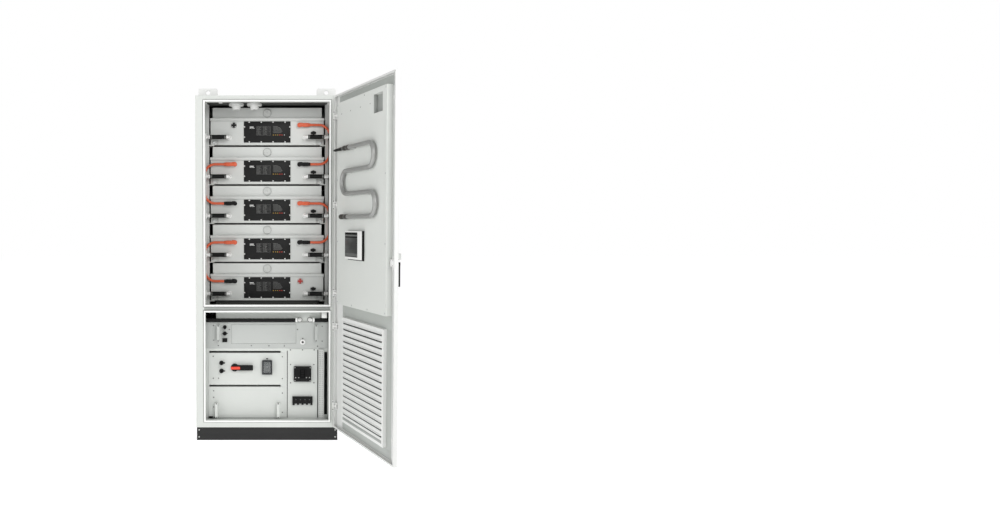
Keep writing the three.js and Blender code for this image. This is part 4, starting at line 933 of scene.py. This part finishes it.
def control_ports(bm):
    round_connector(bm, -0.288, 0.763, 0.0130, False)
    round_connector(bm, -0.288, 0.720, 0.0140, True)


def control_socket(bm):
    rect_ring(bm, -0.305, -0.271, 0.6605, 0.6875, 0.0055, PANEL_Y - 0.0110, PANEL_Y - 0.0062, 0.0008)
    box(bm, (-0.3005, PANEL_Y - 0.0070, 0.665), (-0.2755, PANEL_Y - 0.0061, 0.683), 0.0002)


cabinet("control_round_ports", control_ports, MOULD_BLACK)
cabinet("control_square_port", control_socket, MOULD_BLACK)


def key_switch(bm):
    ring(bm, (0.242, PANEL_Y - 0.0085, 0.660), "y", 0.0083, 0.0175, 0.0075, 32)


def key_barrel(bm):
    disc_rod(bm, (0.242, PANEL_Y - 0.0060, 0.660), "y", 0.0058, 0.0074)
    box(bm, (0.2408, PANEL_Y - 0.0075, 0.655), (0.2432, PANEL_Y - 0.0058, 0.665), 0.0004)


cabinet("key_switch_ring", key_switch, FITTING_WHITE)
cabinet("key_switch_barrel", key_barrel, MOULD_BLACK)

cabinet("control_box_screws", screws([
    (x, PANEL_Y, z) for x, z in (
        (-0.366, 0.773), (-0.364, 0.673), (-0.258, 0.746), (0.207, 0.746), (0.375, 0.768), (0.375, 0.666),
        (-0.333, 0.636), (-0.108, 0.635), (0.117, 0.633), (0.343, 0.631), (0.242, 0.684), (0.012, 0.634),
    )
], radius=0.0042, proud=0.0024), STEEL_DARK)


def disconnect_ports(bm):
    for z in (0.519, 0.464):
        round_connector(bm, -0.311, z, 0.0155, False)
        box(bm, (-0.311, PANEL_Y - 0.0200, z - 0.004), (-0.286, PANEL_Y - 0.0125, z + 0.004), 0.0016)


cabinet("disconnect_ports", disconnect_ports, MOULD_BLACK)
cabinet("unit_screws", screws([
    (x, PANEL_Y, z) for x, z in (
        (0.104, 0.559), (0.104, 0.409), (0.104, 0.309), (0.104, 0.176), (-0.368, 0.562), (-0.368, 0.411),
        (-0.332, 0.411), (-0.366, 0.280), (-0.366, 0.213), (-0.366, 0.325),
    )
] + [(x, PANEL_Y, 0.606) for x in (0.159, 0.241, 0.321)]
  + [(x, PANEL_Y, z) for x in (0.160, 0.319) for z in (0.505, 0.380)], radius=0.0042, proud=0.0024),
    STEEL_DARK)

SWITCH_LO, SWITCH_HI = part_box("rotary_handle")
HUB = Vector((SWITCH_LO.x + 0.027, SWITCH_HI.y, mid("rotary_handle").z))


def rotary_grip(bm):
    front = SWITCH_LO.y
    lathe(bm, (HUB.x, HUB.y, HUB.z), (0, -1, 0), [
        (0, 0), (0, 0.0268), (0.012, 0.0268), (0.013, 0.0255), (0.022, 0.0250), (0.025, 0.0230), (0.025, 0)],
        40)
    box(bm, (HUB.x - 0.004, front + 0.0005, HUB.z - 0.0185), (SWITCH_HI.x - 0.0003, front + 0.0175, HUB.z
        + 0.0185),
        0.0055, 4)


piece("rotary_grip", rotary_grip, MOULD_BLACK, "rotary_handle", ["rotary_handle"])


def rotary_window(bm):
    box(bm, (HUB.x - 0.0265, SWITCH_LO.y - 0.0006, HUB.z - 0.0105), (HUB.x + 0.037, SWITCH_LO.y + 0.0016,
                                                                     HUB.z + 0.0085), 0.0016, 3)


piece("rotary_window", rotary_window, LEVER_RED, "rotary_handle")


def rotary_base(bm):
    box(bm, (HUB.x - 0.033, PANEL_Y - 0.0018, HUB.z - 0.033),
        (HUB.x + 0.033, PANEL_Y - 0.0002, HUB.z + 0.033), 0.0008)


cabinet("rotary_base_plate", rotary_base, PACK_LID)

FLIP_LO, FLIP_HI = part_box("flip_cover")
SMOKE = finish_of("smoky_clear", "7e8181", 0.2, drift=0.05, worn="9a9c9c", wear=0.2, bump=0.0)
SMOKE.node_tree.nodes["Principled BSDF"].inputs["Alpha"].default_value = 0.5
FLIP_RIM = finish_of("flip_rim_grey", "2b2d2f", 0.34, sheen=0.3, drift=0.1, worn="5c5e60")


def flip_window(bm):
    box(bm, (FLIP_LO.x + 0.001, FLIP_LO.y + 0.0032, FLIP_LO.z + 0.001),
        (FLIP_HI.x - 0.001, FLIP_HI.y - 0.0003, FLIP_HI.z - 0.001), 0.005, 3)
    back = [f for f in bm.faces if f.normal.y > 0.99 and f.calc_center_median().y > FLIP_HI.y - 0.002]
    bmesh.ops.delete(bm, geom=back, context="FACES")
    bmesh.ops.solidify(bm, geom=bm.faces[:], thickness=0.002)


def flip_rim(bm):
    rect_ring(bm, FLIP_LO.x, FLIP_HI.x, FLIP_LO.z, FLIP_HI.z, 0.0105, FLIP_LO.y + 0.0026, FLIP_LO.y + 0.0060,
              0.001)
    box(bm, (-0.015, FLIP_LO.y + 0.0002, FLIP_LO.z + 0.0005), (0.015, FLIP_LO.y + 0.004, FLIP_LO.z + 0.010),
        0.001)
    disc_rod(bm, (FLIP_LO.x + 0.006, FLIP_HI.y - 0.004, FLIP_HI.z - 0.004), "x",
             FLIP_HI.x - FLIP_LO.x - 0.012,
             0.0034)


piece("flip_window", flip_window, SMOKE, "flip_cover", ["flip_cover"])
piece("flip_rim", flip_rim, FLIP_RIM, "flip_cover")


def flip_switch(bm):
    z = mid("flip_cover").z
    box(bm, (-0.0210, -0.6052, z - 0.032), (0.0210, -0.6041, z + 0.028), 0.0004)
    box(bm, (-0.0120, -0.6072, z - 0.014), (0.0120, -0.6050, z + 0.014), 0.0007)


def flip_switch_marks(bm):
    z = mid("flip_cover").z
    rect_ring(bm, -0.0170, 0.0170, z - 0.020, z + 0.021, 0.0022, -0.6056, -0.6051, 0.0002)
    box(bm, (-0.0070, -0.6076, z - 0.004), (0.0070, -0.6071, z + 0.010), 0.0002)


cabinet("flip_switch", flip_switch, STEEL_DARK)
cabinet("flip_switch_marks", flip_switch_marks, INK_WHITE)
cabinet("flip_catch", lambda bm: (
    box(bm, (-0.0065, PANEL_Y - 0.0004, FLIP_HI.z + 0.0030), (0.0065, PANEL_Y - 0.0001, FLIP_HI.z + 0.0110)),
    box(bm, (-0.0345, PANEL_Y - 0.0018, FLIP_LO.z - 0.004), (0.0345, PANEL_Y - 0.0002, FLIP_HI.z - 0.012),
        0.0006),
), FLIP_RIM)

BREAKER_LO, BREAKER_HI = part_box("breaker")


def breaker_face(bm):
    low, high = BREAKER_LO, BREAKER_HI
    plate = low.y + 0.006
    box(bm, (low.x, plate, low.z), (high.x, high.y, high.z), 0.002)
    rect_ring(bm, low.x + 0.036, high.x - 0.036, low.z + 0.024, high.z - 0.013, 0.006, low.y + 0.0005, plate
              + 0.0004,
              0.001)
    for k in range(3):
        z = low.z + 0.036 + k * 0.0165
        box(bm, (low.x + 0.048, low.y + 0.0024, z), (high.x - 0.048, plate + 0.0002, z + 0.010), 0.001)
    for x0, x1 in ((low.x + 0.006, low.x + 0.032), (high.x - 0.032, high.x - 0.006)):
        rect_ring(bm, x0, x1, low.z + 0.040, high.z - 0.016, 0.0016, plate - 0.0010, plate + 0.0002, 0.0003)


def breaker_well(bm):
    low, high = BREAKER_LO, BREAKER_HI
    box(bm, (low.x + 0.0425, low.y + 0.0052, low.z + 0.031), (high.x - 0.0425, low.y + 0.0057,
        high.z - 0.020))


cabinet("breaker_face", breaker_face, MOULD_BLACK, ["breaker"])
cabinet("breaker_well", breaker_well, SHADOW_BLACK)
cabinet("breaker_screws", screws([
    (x, BREAKER_LO.y + 0.006, z)
    for x in (BREAKER_LO.x + 0.007, BREAKER_HI.x - 0.007) for z in (BREAKER_LO.z + 0.007,
    BREAKER_HI.z - 0.007)
] + [(x, BREAKER_LO.y + 0.006, BREAKER_LO.z + 0.029) for x in (BREAKER_LO.x + 0.012, BREAKER_LO.x + 0.033,
                                                            BREAKER_HI.x - 0.033, BREAKER_HI.x - 0.012)],
    radius=0.003, proud=0.0016), INK_WHITE)


def terminal_strip(bm):
    x0, x1, z0, z1 = 0.1722, 0.3098, 0.2402, 0.2875
    face = PANEL_Y - 0.0195
    box(bm, (x0, face, z0), (x1, PANEL_Y - 0.0004, z1), 0.0015)
    for k in range(5):
        x = x0 + 0.0005 + k * 0.0305
        long_end = k in (0, 4)
        box(bm, (x, face - 0.0008, z0 - (0.0105 if long_end else 0.0085)),
            (x + 0.0150, PANEL_Y - 0.0004, z0 + 0.004),
            0.0012)
    for k in range(4):
        x = x0 + 0.0185 + k * 0.0305
        box(bm, (x, face - 0.0016, z0 + 0.012), (x + 0.011, face + 0.001, z1 - 0.008), 0.0012)


cabinet("terminal_strip", terminal_strip, MOULD_BLACK)
cabinet("terminal_screws", screws([
    (0.1722 + 0.0240 + k * 0.0305, PANEL_Y - 0.0211, 0.268) for k in range(4)
], radius=0.0032), STEEL_DARK)

DUCT_LO, DUCT_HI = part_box("wiring_duct")


# The slots are flat darker marks: painted shade standing for the open holes.
def duct_slots(bm):
    rows = 38
    step = (DUCT_HI.z - DUCT_LO.z - 0.02) / rows
    for k in range(rows):
        z = DUCT_LO.z + 0.014 + k * step
        for x in (DUCT_LO.x + 0.006, DUCT_HI.x - 0.0125):
            box(bm, (x, DUCT_LO.y - 0.0003, z), (x + 0.0065, DUCT_LO.y + 0.0002, z + 0.0055))


cabinet("duct_slots", duct_slots, finish_of("slot_painted_shade", "9b9d9a", 0.6, drift=0.1))


def shade_behind_unit_joints(bm):
    """Black sheets behind the joints beside the column panel and under the control box, and behind the deep side
    slot: painted shade in the gaps.
    """
    for x0, x1, z0, z1 in (
        (0.1355, 0.1392, 0.140, 0.600), (0.3432, 0.3478, 0.140, 0.606), (0.3905, 0.4105, 0.162, 0.592),
    ):
        box(bm, (x0, PANEL_Y + 0.0022, z0), (x1, PANEL_Y + 0.0029, z1))


cabinet("unit_joint_shade", shade_behind_unit_joints, SHADOW_BLACK)


def grip_caps(bm):
    for x, z0, z1 in ((-0.332, 0.670, 0.779), (0.332, 0.670, 0.779), (-0.346, 0.145, 0.247),
                      (0.075, 0.145, 0.247)):
        for z in (z0 + 0.004, z1 - 0.004):
            disc_rod(bm, (x, CONTROL_FRONT - 0.0006, z), "y", 0.003, 0.0052)


cabinet("pull_screw_caps", grip_caps, STEEL_DARK)


def corner_brackets(bm):
    """Dark mounting feet of the lowest unit."""
    for x0, x1, z0, z1 in ((-0.399, -0.372, 0.139, 0.150), (-0.366, -0.335, 0.139, 0.146),
                           (0.066, 0.084, 0.139, 0.145)):
        box(bm, (x0, PANEL_Y - 0.010, z0), (x1, PANEL_Y - 0.0003, z1), 0.001)


cabinet("unit_feet", corner_brackets, MOULD_BLACK)

# ---------------------------------------------------------------- door, drawn shut

INNER_FACE = 0.030
PIPE_Y = 0.030 + 0.0003 + 0.006 + 0.014
PIPE_BEND = 0.072
ROWS = [1.942 - k * 0.144 for k in range(4)]


def pipe_path():
    hinge_x, free_x, free_low_x = -0.224, -0.7305, -0.7545
    return round_corners([
        (-0.300, PIPE_Y, ROWS[0]), (free_x, PIPE_Y, ROWS[0]), (free_x, PIPE_Y, ROWS[1]),
        (hinge_x, PIPE_Y, ROWS[1]), (hinge_x, PIPE_Y, ROWS[2]), (free_low_x, PIPE_Y, ROWS[2]),
        (free_low_x, PIPE_Y, ROWS[3]), (-0.285, PIPE_Y, ROWS[3]),
    ], PIPE_BEND - 0.0002, 12)


on_door("door_pipe_tube", lambda bm: tube(bm, pipe_path(), 0.0138, 24), PIPE_STEEL,
        ["door_pipe"])


def pipe_nuts(bm):
    lathe(bm, (-0.350, PIPE_Y, ROWS[0]), (1, 0, 0), [
        (0, 0), (0, 0.0150), (0.006, 0.0160), (0.030, 0.0160), (0.034, 0.0142), (0.058, 0.0142),
        (0.062, 0.0158),
        (0.090, 0.0158), (0.096, 0.0120), (0.118, 0.0120), (0.118, 0)], 20)
    lathe(bm, (-0.327, PIPE_Y, ROWS[3]), (1, 0, 0), [
        (0, 0), (0, 0.0150), (0.012, 0.0165), (0.044, 0.0165), (0.050, 0.0140), (0.070, 0.0140),
        (0.076, 0.0165),
        (0.116, 0.0165), (0.121, 0.012), (0.121, 0)], 20)


def pipe_tip(bm):
    lathe(bm, (-0.234, PIPE_Y, ROWS[0]), (1, 0, 0), [
        (0, 0), (0, 0.0110), (0.046, 0.0110), (0.050, 0.0092), (0.126, 0.0086), (0.132, 0.0070),
        (0.150, 0.0062),
        (0.150, 0)], 20)


on_door("door_pipe_fittings", pipe_nuts, FITTING_DARK)
on_door("door_pipe_tip", pipe_tip, MOULD_BLACK)


def pipe_clips(bm):
    for x, row in ((-0.40, 0), (-0.62, 0), (-0.34, 1), (-0.60, 1), (-0.34, 2), (-0.62, 2), (-0.40, 3),
                   (-0.62, 3)):
        z = ROWS[row]
        box(bm, (x - 0.009, INNER_FACE + 0.0004, z - 0.019), (x + 0.009, PIPE_Y - 0.0135, z + 0.019), 0.0012)


on_door("door_pipe_clips", pipe_clips, INNER_COAT)


DISPLAY_X0, DISPLAY_X1, DISPLAY_Z0, DISPLAY_Z1 = -0.5575, -0.2865, 1.239, 1.4215
DISPLAY_BACK, DISPLAY_FRONT = 0.0304, 0.0535
SCREEN_X0, SCREEN_X1 = -0.4955, -0.2900


def display_body(bm):
    box(bm, (DISPLAY_X0 + 0.0045, DISPLAY_BACK, DISPLAY_Z0), (DISPLAY_X1 - 0.0075, DISPLAY_BACK + 0.004,
        DISPLAY_Z1), 0.001)
    box(bm, (DISPLAY_X0 + 0.010, DISPLAY_BACK + 0.003, DISPLAY_Z0 + 0.009),
        (DISPLAY_X1 - 0.012, DISPLAY_FRONT - 0.004, DISPLAY_Z1 - 0.004), 0.002, 3)


def display_bezel(bm):
    box(bm, (DISPLAY_X0, DISPLAY_FRONT - 0.0055, DISPLAY_Z0 + 0.0065),
        (DISPLAY_X1, DISPLAY_FRONT - 0.001, DISPLAY_Z1 - 0.0005), 0.0015, 3)


def display_screen(bm):
    box(bm, (SCREEN_X0, DISPLAY_FRONT - 0.0018, 1.2590), (SCREEN_X1, DISPLAY_FRONT - 0.0003, 1.4120), 0.0006)


def display_strip(bm, z0, z1):
    box(bm, (SCREEN_X0 + 0.002, DISPLAY_FRONT - 0.0004, z0), (SCREEN_X1 - 0.002, DISPLAY_FRONT, z1))


def display_bands(bm):
    for z0, z1 in ((1.3990, 1.4080), (1.3790, 1.3860)):
        display_strip(bm, z0, z1)


def display_footer(bm):
    for z0, z1 in ((1.2640, 1.2820), (1.3880, 1.3965)):
        display_strip(bm, z0, z1)


on_door("display_body", display_body, HOUSING_DARK, ["door_display"])
on_door("display_bezel", display_bezel, FITTING_WHITE)
on_door("display_screen", display_screen, SCREEN_DARK)
on_door("display_bands", display_bands, SHADOW_BLACK)
on_door("display_footer", display_footer, finish_of("screen_grey", "5c5e5c", 0.4, drift=0.05))


# Dark discs where the holes are: painted shade for the open holes.
def panel_holes(bm):
    for s, z in ((0.165, 2.171), (0.319, 2.171), (0.479, 2.171), (0.629, 2.171), (0.541, 2.234)):
        disc_rod(bm, (-s, INNER_FACE - 0.0001, z), "y", 0.0004, 0.0042)


on_door("inner_panel_holes", panel_holes, STEEL_DARK)
on_door("inner_panel_screws", screws([
    (x, INNER_FACE, z) for x in (-0.098, -0.855) for z in (0.955, 1.35, 1.75, 2.233)
] + [(x, INNER_FACE, z) for x in (-0.35, -0.60) for z in (0.952,)], "+y", 0.005, 0.002), ZINC)


LOUVRE_LO_Z, LOUVRE_HI_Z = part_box("door_louvre")[0].z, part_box("door_louvre")[1].z
LOUVRE_ROWS = 16
LOUVRE_FIRST = LOUVRE_HI_Z - 0.034
LOUVRE_PITCH = (LOUVRE_FIRST - LOUVRE_LO_Z - 0.060) / (LOUVRE_ROWS - 1)
LOUVRE_X0, LOUVRE_X1 = -0.778, -0.157
RIM_INNER = 0.0125  # inner face of the louvre, level with the door's returns


def louvre_blades(bm):
    """One pressed hood over each slot, leaning out from its top edge and open along the bottom."""
    for row in range(LOUVRE_ROWS):
        z = LOUVRE_FIRST - row * LOUVRE_PITCH
        top, lip = z + 0.0105, z + 0.0035
        corners = [bm.verts.new(at) for at in (
            (LOUVRE_X0, RIM_INNER, top), (LOUVRE_X1, RIM_INNER, top),
            (LOUVRE_X1 - 0.004, RIM_INNER + 0.0075, lip), (LOUVRE_X0 + 0.004, RIM_INNER + 0.0075, lip),
        )]
        face = bm.faces.new(corners)
        cheeks = [
            bm.faces.new((corners[0], corners[3], bm.verts.new((LOUVRE_X0, RIM_INNER, lip)))),
            bm.faces.new((corners[1], bm.verts.new((LOUVRE_X1, RIM_INNER, lip)), corners[2])),
        ]
        bmesh.ops.recalc_face_normals(bm, faces=[face, *cheeks])
        bmesh.ops.solidify(bm, geom=[face, *cheeks], thickness=0.0009)


on_door("louvre_blades", louvre_blades, GREY_COAT)


# Painted shade: a dark sheet behind the louvre slots, standing for the shade under the blades.
def louvre_slot_shade(bm):
    box(bm, (LOUVRE_X0 - 0.006, RIM_INNER - 0.0050, LOUVRE_LO_Z + 0.012),
        (LOUVRE_X1 + 0.006, RIM_INNER - 0.0035, LOUVRE_HI_Z - 0.012), 0.0003)


on_door("louvre_slot_shade", louvre_slot_shade, LOUVRE_SHADE_DARK)


# Painted shade: a darker strip under the last louvre blade.
def louvre_foot_groove(bm):
    box(bm, (LOUVRE_X0, RIM_INNER + 0.0001, LOUVRE_LO_Z + 0.018),
        (LOUVRE_X1, RIM_INNER + 0.0007, LOUVRE_LO_Z + 0.036),
        0.0002)


on_door("louvre_foot_groove", louvre_foot_groove, RECESS_PAINTED_SHADE)


def door_painted_shade(bm):
    """Grey sheets on the inside of the skin, round the louvre and the inner panel: painted shade for the recessed
    inside of the door.
    """
    for x0, x1, z0, z1 in (
        (-0.880, -0.030, 2.2400, 2.3005), (-0.868, -0.100, 0.8580, 0.9385), (-0.868, -0.100, 0.1110, 0.1665),
        (-0.868, -0.802, 0.1665, 0.8580), (-0.133, -0.100, 0.1665, 0.8580),
    ):
        box(bm, (x0, SKIN_INNER + 0.0002, z0), (x1, SKIN_INNER + 0.0010, z1), 0.0003)


on_door("door_painted_shade", door_painted_shade, DOOR_SHADE_GREY)


# Painted shade: a darker sheet on the floor and side of the pocket.
def pocket_painted_shade(bm):
    box(bm, (-0.8095, 0.0043, 2.1080), (-0.6825, 0.0050, 2.2140), 0.0002)
    box(bm, (-0.6832, 0.0050, 2.1080), (-0.6825, 0.0290, 2.2140), 0.0002)


on_door("pocket_painted_shade", pocket_painted_shade, RECESS_PAINTED_SHADE)


def vent_outline(bm, x, z, size=0.0115, width=0.0052):
    """A closed three-armed slot with round ends, as a loop of edges."""
    points = []
    for arm in range(3):
        angle = math.radians(120 * arm)
        along = Vector((math.cos(angle), 0, math.sin(angle)))
        across = Vector((-math.sin(angle), 0, math.cos(angle)))
        for turn in (-90, -45, 0, 45, 90):
            t = math.radians(turn)
            points.append(along * (size - width / 2 + math.cos(t) * width / 2)
                          + across * math.sin(t) * width / 2)
        bend = math.radians(120 * arm + 60)
        points.append(Vector((math.cos(bend), 0, math.sin(bend))) * width * 0.62)
    verts = [bm.verts.new(Vector((x, 0, z)) + p) for p in points]
    return [bm.edges.new((verts[i], verts[(i + 1) % len(verts)])) for i in range(len(verts))]


VENT_X0, VENT_X1, VENT_Z0, VENT_Z1 = -0.822, -0.098, 0.146, 0.830


def vent_sheet(bm):
    """The louvred lower part of the skin: a thin sheet punched with three-armed slots."""
    outer = [bm.verts.new((x, 0, z)) for x, z in (
        (VENT_X0, VENT_Z0), (VENT_X1, VENT_Z0), (VENT_X1, VENT_Z1), (VENT_X0, VENT_Z1))]
    edges = [bm.edges.new((outer[i], outer[(i + 1) % 4])) for i in range(4)]
    for column in range(17):
        for row in range(16):
            edges += vent_outline(bm, -0.1315 - column * 0.0412, 0.790 - row * 0.0412)
    bmesh.ops.triangle_fill(bm, use_beauty=True, use_dissolve=False, edges=edges, normal=(0, -1, 0))
    pushed = bmesh.ops.extrude_face_region(bm, geom=bm.faces[:])
    moved = [g for g in pushed["geom"] if isinstance(g, bmesh.types.BMVert)]
    bmesh.ops.translate(bm, vec=(0, -0.0012, 0), verts=moved)
    bmesh.ops.recalc_face_normals(bm, faces=bm.faces[:])
    bmesh.ops.translate(bm, vec=(0, SKIN_OUTER - 0.0006, 0), verts=bm.verts[:])


def vent_shade(bm):
    box(bm, (VENT_X0 + 0.006, SKIN_OUTER - 0.0005, VENT_Z0 + 0.006), (VENT_X1 - 0.006, SKIN_OUTER - 0.0002,
                                                                    VENT_Z1 - 0.006))


on_door("door_vent_sheet", vent_sheet, GREY_COAT)
on_door("door_vent_shade", vent_shade, SHADOW_BLACK)

LOCK_X = -0.9095
LOCK_Z = 1.244


def lock_case(bm):
    box(bm, (LOCK_X - 0.0215, 0.0042, LOCK_Z - 0.020), (LOCK_X + 0.0180, 0.0150, LOCK_Z + 0.021), 0.002)
    for dz in (-0.028, 0.029):
        box(bm, (LOCK_X - 0.006, 0.0042, LOCK_Z + dz - 0.010), (LOCK_X + 0.006, 0.0070, LOCK_Z + dz + 0.010),
            0.001)


on_door("lock_case", lock_case, FITTING_WHITE)
on_door("lock_case_screws", lambda bm: [
    screw(bm, (LOCK_X + dx, 0.0150, LOCK_Z + dz), "+y", 0.0032) for dx in (-0.015, 0.014) for dz in (-0.013,
    0.014)
], ZINC)


def handle_plate(bm):
    box(bm, (LOCK_X - 0.019, -0.0208, 1.100), (LOCK_X + 0.019, -0.0129, 1.311), 0.002, 3)
    box(bm, (LOCK_X - 0.019, -0.0368, 1.262), (LOCK_X + 0.019, -0.0129, 1.298), 0.004, 3)


on_door("handle_plate", handle_plate, RAIL_COAT, ["handle_base"])
on_door("handle_key", lambda bm: (
    ring(bm, (LOCK_X, -0.0378, 1.281), "y", 0.0010, 0.0105, 0.0060, 28),
    box(bm, (LOCK_X - 0.0012, -0.0374, 1.277), (LOCK_X + 0.0012, -0.0368, 1.285)),
), ZINC)


def lever_grip(bm):
    """A flat lever whose upper end is forked round its pivot."""
    inner, outer = -0.0223, -0.0343
    mid_y = (inner + outer) / 2
    box(bm, (LOCK_X - 0.0138, outer + 0.0002, 1.1102), (LOCK_X + 0.0138, inner - 0.0002, 1.2350), 0.0035, 3)
    for lo, hi in ((LOCK_X - 0.0138, LOCK_X - 0.0077), (LOCK_X + 0.0077, LOCK_X + 0.0138)):
        box(bm, (lo, outer + 0.0002, 1.2300), (hi, inner - 0.0002, 1.2440), 0.0008)
        disc_rod(bm, (lo, mid_y, LOCK_Z), "x", hi - lo, 0.0059, 0.0006, 24)


on_door("lever_grip", lever_grip, MOULD_BLACK, ["handle_lever"], body="handle_lever")

for number in range(1, 6):
    frame["nodes"][f"hinge_{number}"].data.materials[0] = FITTING_WHITE
    low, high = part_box(f"hinge_{number}")
    z = (low.z + high.z) / 2
    cabinet(f"hinge_{number}_screws", screws([
        (low.x + 0.0045, high.y - 0.0030, z - 0.026), (low.x + 0.0045, high.y - 0.0030, z + 0.026),
        (low.x + 0.0195, high.y - 0.0030, z - 0.026), (low.x + 0.0195, high.y - 0.0030, z + 0.026),
    ], radius=0.0036), STEEL_DARK)

# ---------------------------------------------------------------- sides, back and roof


WALL_SET_BACK = 0.0022  # the wall sheets lie this far inside the frame's outline, and their screws fill it
WALL_ROWS = (0.13, 0.56, 0.99, 1.42, 1.85, 2.25)
WALL_HEAD = 0.0055  # radius of a wall screw's head
SIDE_X, BACK_Y = 0.480, 0.650


def wall_sheet(name, axis, face):
    """The wall's own folded sheet, its outer face set back to keep the screw heads level with the frame."""
    source = frame["nodes"][name].data
    way = 1 if face > 0 else -1

    def build(bm):
        bm.from_mesh(source)
        bmesh.ops.remove_doubles(bm, verts=bm.verts[:], dist=1e-6)
        outer = [v for v in bm.verts if (v.co[axis] - face) * way > -WALL_SET_BACK / 2]
        for v in outer:
            v.co[axis] = face - way * WALL_SET_BACK
        rim = [e for e in bm.edges if all(v in outer for v in e.verts) and len(e.link_faces) == 2
               and e.calc_face_angle(0.0) > 1.0]
        bmesh.ops.bevel(bm, geom=rim, offset=0.0025, offset_type="OFFSET", segments=3, profile=0.5,
                        affect="EDGES",
                        material=-1)

    cabinet(name + "_sheet", build, GREY_COAT, [name])


wall_sheet("side_panel_left", 0, -SIDE_X)
wall_sheet("side_panel_right", 0, SIDE_X)
wall_sheet("rear_panel", 1, BACK_Y)


def wall_screws(bm):
    sides = [(side, y, z) for side in (-1, 1) for z in WALL_ROWS for y in (-0.59, 0.61)]
    for side, y, z in sides:
        screw(bm, (side * (SIDE_X - WALL_SET_BACK), y, z), "+x" if side > 0 else "-x", WALL_HEAD,
              WALL_SET_BACK - 0.0001)
    back = [(x, z) for x in (-0.455, 0.455) for z in WALL_ROWS]
    for x, z in back + [(x, z) for x in (-0.23, 0.0, 0.23) for z in (0.11, 2.268)]:
        screw(bm, (x, BACK_Y - WALL_SET_BACK, z), "+y", WALL_HEAD, WALL_SET_BACK - 0.0001)


cabinet("wall_screws", wall_screws, ZINC)


def roof_rim(bm):
    low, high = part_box("roof_panel")
    before = set(bm.verts)
    rect_ring(bm, low.x + 0.006, high.x - 0.006, low.y + 0.006, high.y - 0.006, 0.012, -high.z - 0.0012,
              -high.z, 0.0006)
    made = [v for v in bm.verts if v not in before]
    for v in made:
        v.co = Vector((v.co.x, v.co.z, -v.co.y))
    bmesh.ops.recalc_face_normals(bm, faces=bm.faces[:])


cabinet("roof_rim", roof_rim, GREY_COAT)

# ---------------------------------------------------------------- camera, floor and light

camera = bpy.data.objects.new("camera", bpy.data.cameras.new("camera"))
SCENE.collection.objects.link(camera)
SCENE.camera = camera
camera.location = (0.001, -6.11, 1.46)
camera.rotation_euler = (math.radians(90 - 2.42), 0, 0)
camera.data.sensor_width = 36.0
camera.data.lens = 29.3
camera.data.shift_x = 0.2327
camera.data.shift_y = -0.002
camera.data.clip_end = 200.0
AMBIENT = 0.32  # light from all round; the camera itself sees a white backdrop


def lay_floor():
    bm = bmesh.new()
    bmesh.ops.create_grid(bm, x_segments=8, y_segments=8, size=30.0)
    mesh = bpy.data.meshes.new("floor")
    bm.to_mesh(mesh)
    bm.free()
    paint = bpy.data.materials.new("floor_paint")
    paint.use_nodes = True
    shader = paint.node_tree.nodes["Principled BSDF"]
    shader.inputs["Base Color"].default_value = (0.9, 0.9, 0.9, 1)
    shader.inputs["Roughness"].default_value = 0.9
    shader.inputs["Emission Color"].default_value = (1, 1, 1, 1)
    shader.inputs["Emission Strength"].default_value = 0.72
    mesh.materials.append(paint)
    floor = bpy.data.objects.new("floor", mesh)
    floor.location.z = -0.001
    SCENE.collection.objects.link(floor)


def area_light(name, location, target, size, power):
    light = bpy.data.lights.new(name, "AREA")
    light.shape = "RECTANGLE"
    light.size, light.size_y = size
    light.energy = power
    holder = bpy.data.objects.new(name, light)
    holder.location = location
    holder.rotation_euler = (Vector(target) - Vector(location)).to_track_quat("-Z", "Y").to_euler()
    SCENE.collection.objects.link(holder)


lay_floor()
world = bpy.data.worlds.new("studio")
SCENE.world = world
world.use_nodes = True
sky = world.node_tree.nodes["Background"]
sky.inputs["Color"].default_value = (1, 1, 1, 1)
seen = world.node_tree.nodes.new("ShaderNodeLightPath").outputs["Is Camera Ray"]
strength = math_node(world.node_tree, "ADD", math_node(world.node_tree, "MULTIPLY", seen, 1.0 - AMBIENT),
                     AMBIENT)
world.node_tree.links.new(strength, sky.inputs["Strength"])
area_light("front_soft_box", (1.7, -5.4, 3.6), (0, -0.6, 1.2), (2.6, 2.2), 118)
area_light("left_soft_box", (-4.0, -3.2, 2.6), (0.6, -1.0, 1.2), (2.4, 2.4), 60)
area_light("right_soft_box", (3.4, -5.4, 2.2), (0.6, -1.0, 1.3), (2.0, 2.4), 12)
SCENE.view_settings.view_transform = "Standard"
